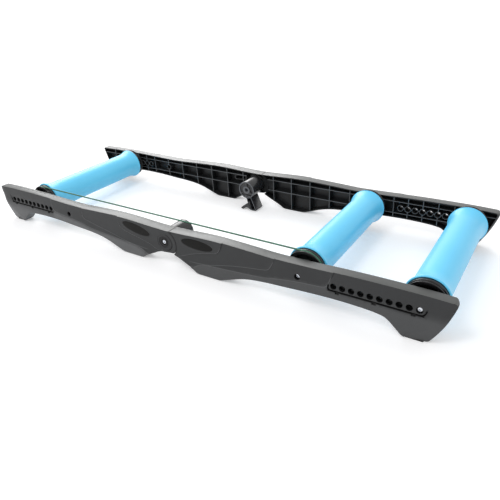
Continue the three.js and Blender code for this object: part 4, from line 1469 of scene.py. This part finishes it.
def belt_path():
    """The belt's middle line, in short steps round the front and middle drums and along the runs between
    them.
    """
    front, middle = DRUM_X["front"], DRUM_X["middle"]
    run = np.linspace(front, middle, 230)[1:-1]
    level = np.full(len(run), AXLE_HEIGHT)
    top = np.column_stack([run[::-1], level + BELT_RUN])
    bottom = np.column_stack([run, level - BELT_RUN])
    rear_turn = arc((middle, AXLE_HEIGHT), BELT_RUN, -math.pi / 2, math.pi / 2, 40)
    front_turn = arc((front, AXLE_HEIGHT), BELT_RUN, math.pi / 2, 3 * math.pi / 2, 40)
    return np.vstack([rear_turn, top, front_turn, bottom])


def belt_shell():
    path = belt_path()
    rows = []
    for angle in np.arange(BELT_FACETS) * 2 * math.pi / BELT_FACETS:
        y = BELT_RADIUS * math.sin(angle) - BELT_PLACE
        rows.append(flat(offset(path, BELT_RADIUS * math.cos(angle)), y))
    shell = Shell()
    shell.hoop(rows)
    return shell


belt = build("drive_belt_look", belt_shell(), angle=60)
belt.data.materials.append(BELT)
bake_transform(belt)
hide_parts("drive_belt")


# Floor, light and camera, in metres

FLOOR_LEVEL = -0.0002
FLOOR_REACH = 60
FLOOR_TONE = (0.84, 0.84, 0.85, 1)
GLOW_SPAN = (1, 2.6)
GLOW = (0.3, 0.6)
WORLD_LIGHT = 0.78
PHOTO_WIDTH = 500
FOCAL_PIXELS = 494.21
SENSOR = 36

# The camera, as solved from the photo: its turn, as an axis times an angle, and then the part's
# place in its view, in millimetres
CAMERA_TURN = (2.02119846, 0.556054424, -0.402504139)
CAMERA_SHIFT = (-83.0188443, -62.1925213, 1473.61074)


def background_ray(nodes):
    """One for rays that the eye, a glossy surface or a clear one sends to the background."""
    path = nodes.add("ShaderNodeLightPath").outputs
    either = nodes.math("MAXIMUM", path["Is Camera Ray"], path["Is Glossy Ray"])
    return nodes.math("MAXIMUM", either, path["Is Transmission Ray"])


def floor_finish():
    """Pale and matt, and for the eye as white as a studio floor, more so further away from the part."""
    m = new_material("studio_floor")
    m.tree.nodes.remove(m.tree.nodes["Principled BSDF"])
    diffuse = m.add("ShaderNodeBsdfDiffuse", {"Color": FLOOR_TONE})
    away = m.add("ShaderNodeVectorMath", {0: m.place}, operation="LENGTH").outputs["Value"]
    span = {"From Min": GLOW_SPAN[0], "From Max": GLOW_SPAN[1], "To Min": GLOW[0], "To Max": GLOW[1]}
    rise = m.add("ShaderNodeMapRange", {"Value": away, **span}).outputs["Result"]
    glow = m.add("ShaderNodeEmission", {"Strength": m.math("MULTIPLY", background_ray(m), rise)})
    both = m.add("ShaderNodeAddShader", {0: diffuse.outputs[0], 1: glow.outputs[0]})
    m.feed(m.tree.nodes["Material Output"], {"Surface": both.outputs[0]})
    return m.owner


def make_floor():
    mesh = bpy.data.meshes.new("floor")
    corners = [(-1, -1), (1, -1), (1, 1), (-1, 1)]
    mesh.from_pydata([(x * FLOOR_REACH, y * FLOOR_REACH, FLOOR_LEVEL) for x, y in corners], [], [range(4)])
    floor = bpy.data.objects.new("floor", mesh)
    bpy.context.collection.objects.link(floor)
    mesh.materials.append(floor_finish())


def make_world():
    """An even white studio, a little dimmer as a light than it looks."""
    world = bpy.data.worlds.new("studio")
    bpy.context.scene.world = world
    m = Nodes(world)
    strength = m.level(background_ray(m), WORLD_LIGHT, 1)
    m.feed(m.tree.nodes["Background"], {"Color": (1, 1, 1, 1), "Strength": strength})


def softbox(name, place, width, height, radiance):
    """A soft lamp that faces the middle of the part and isn't seen itself."""
    light = bpy.data.lights.new(name, "AREA")
    light.shape = "RECTANGLE"
    light.size, light.size_y = width, height
    light.energy = radiance * math.pi * width * height
    lamp = bpy.data.objects.new(name, light)
    bpy.context.collection.objects.link(lamp)
    lamp.location = place
    lamp.rotation_euler = (-Vector(place)).to_track_quat("-Z", "Y").to_euler()
    lamp.visible_camera = False


def make_camera():
    camera = bpy.data.cameras.new("camera")
    camera.sensor_width = SENSOR
    camera.lens = FOCAL_PIXELS / PHOTO_WIDTH * SENSOR
    camera.clip_end = 200
    eye = bpy.data.objects.new("camera", camera)
    bpy.context.collection.objects.link(eye)
    axis = Vector(CAMERA_TURN)
    seen = Matrix.Rotation(axis.length, 3, axis.normalized())
    right, down, ahead = seen
    place = -(seen.transposed() @ (Vector(CAMERA_SHIFT) * MM))
    eye.matrix_world = Matrix((right, -down, -ahead)).transposed().to_4x4()
    eye.matrix_world.translation = place
    bpy.context.scene.camera = eye


make_floor()
make_world()
softbox("key", (-0.1, -1.6, 2.3), 0.8, 0.8, 9.5)
softbox("back", (-3.1, 2.84, 2.5), 2.9, 2.9, 4.6)
softbox("strip", (-1.9, 4.6, 1.75), 4.6, 1.1, 1)
make_camera()
bpy.context.scene.view_settings.view_transform = "Standard"
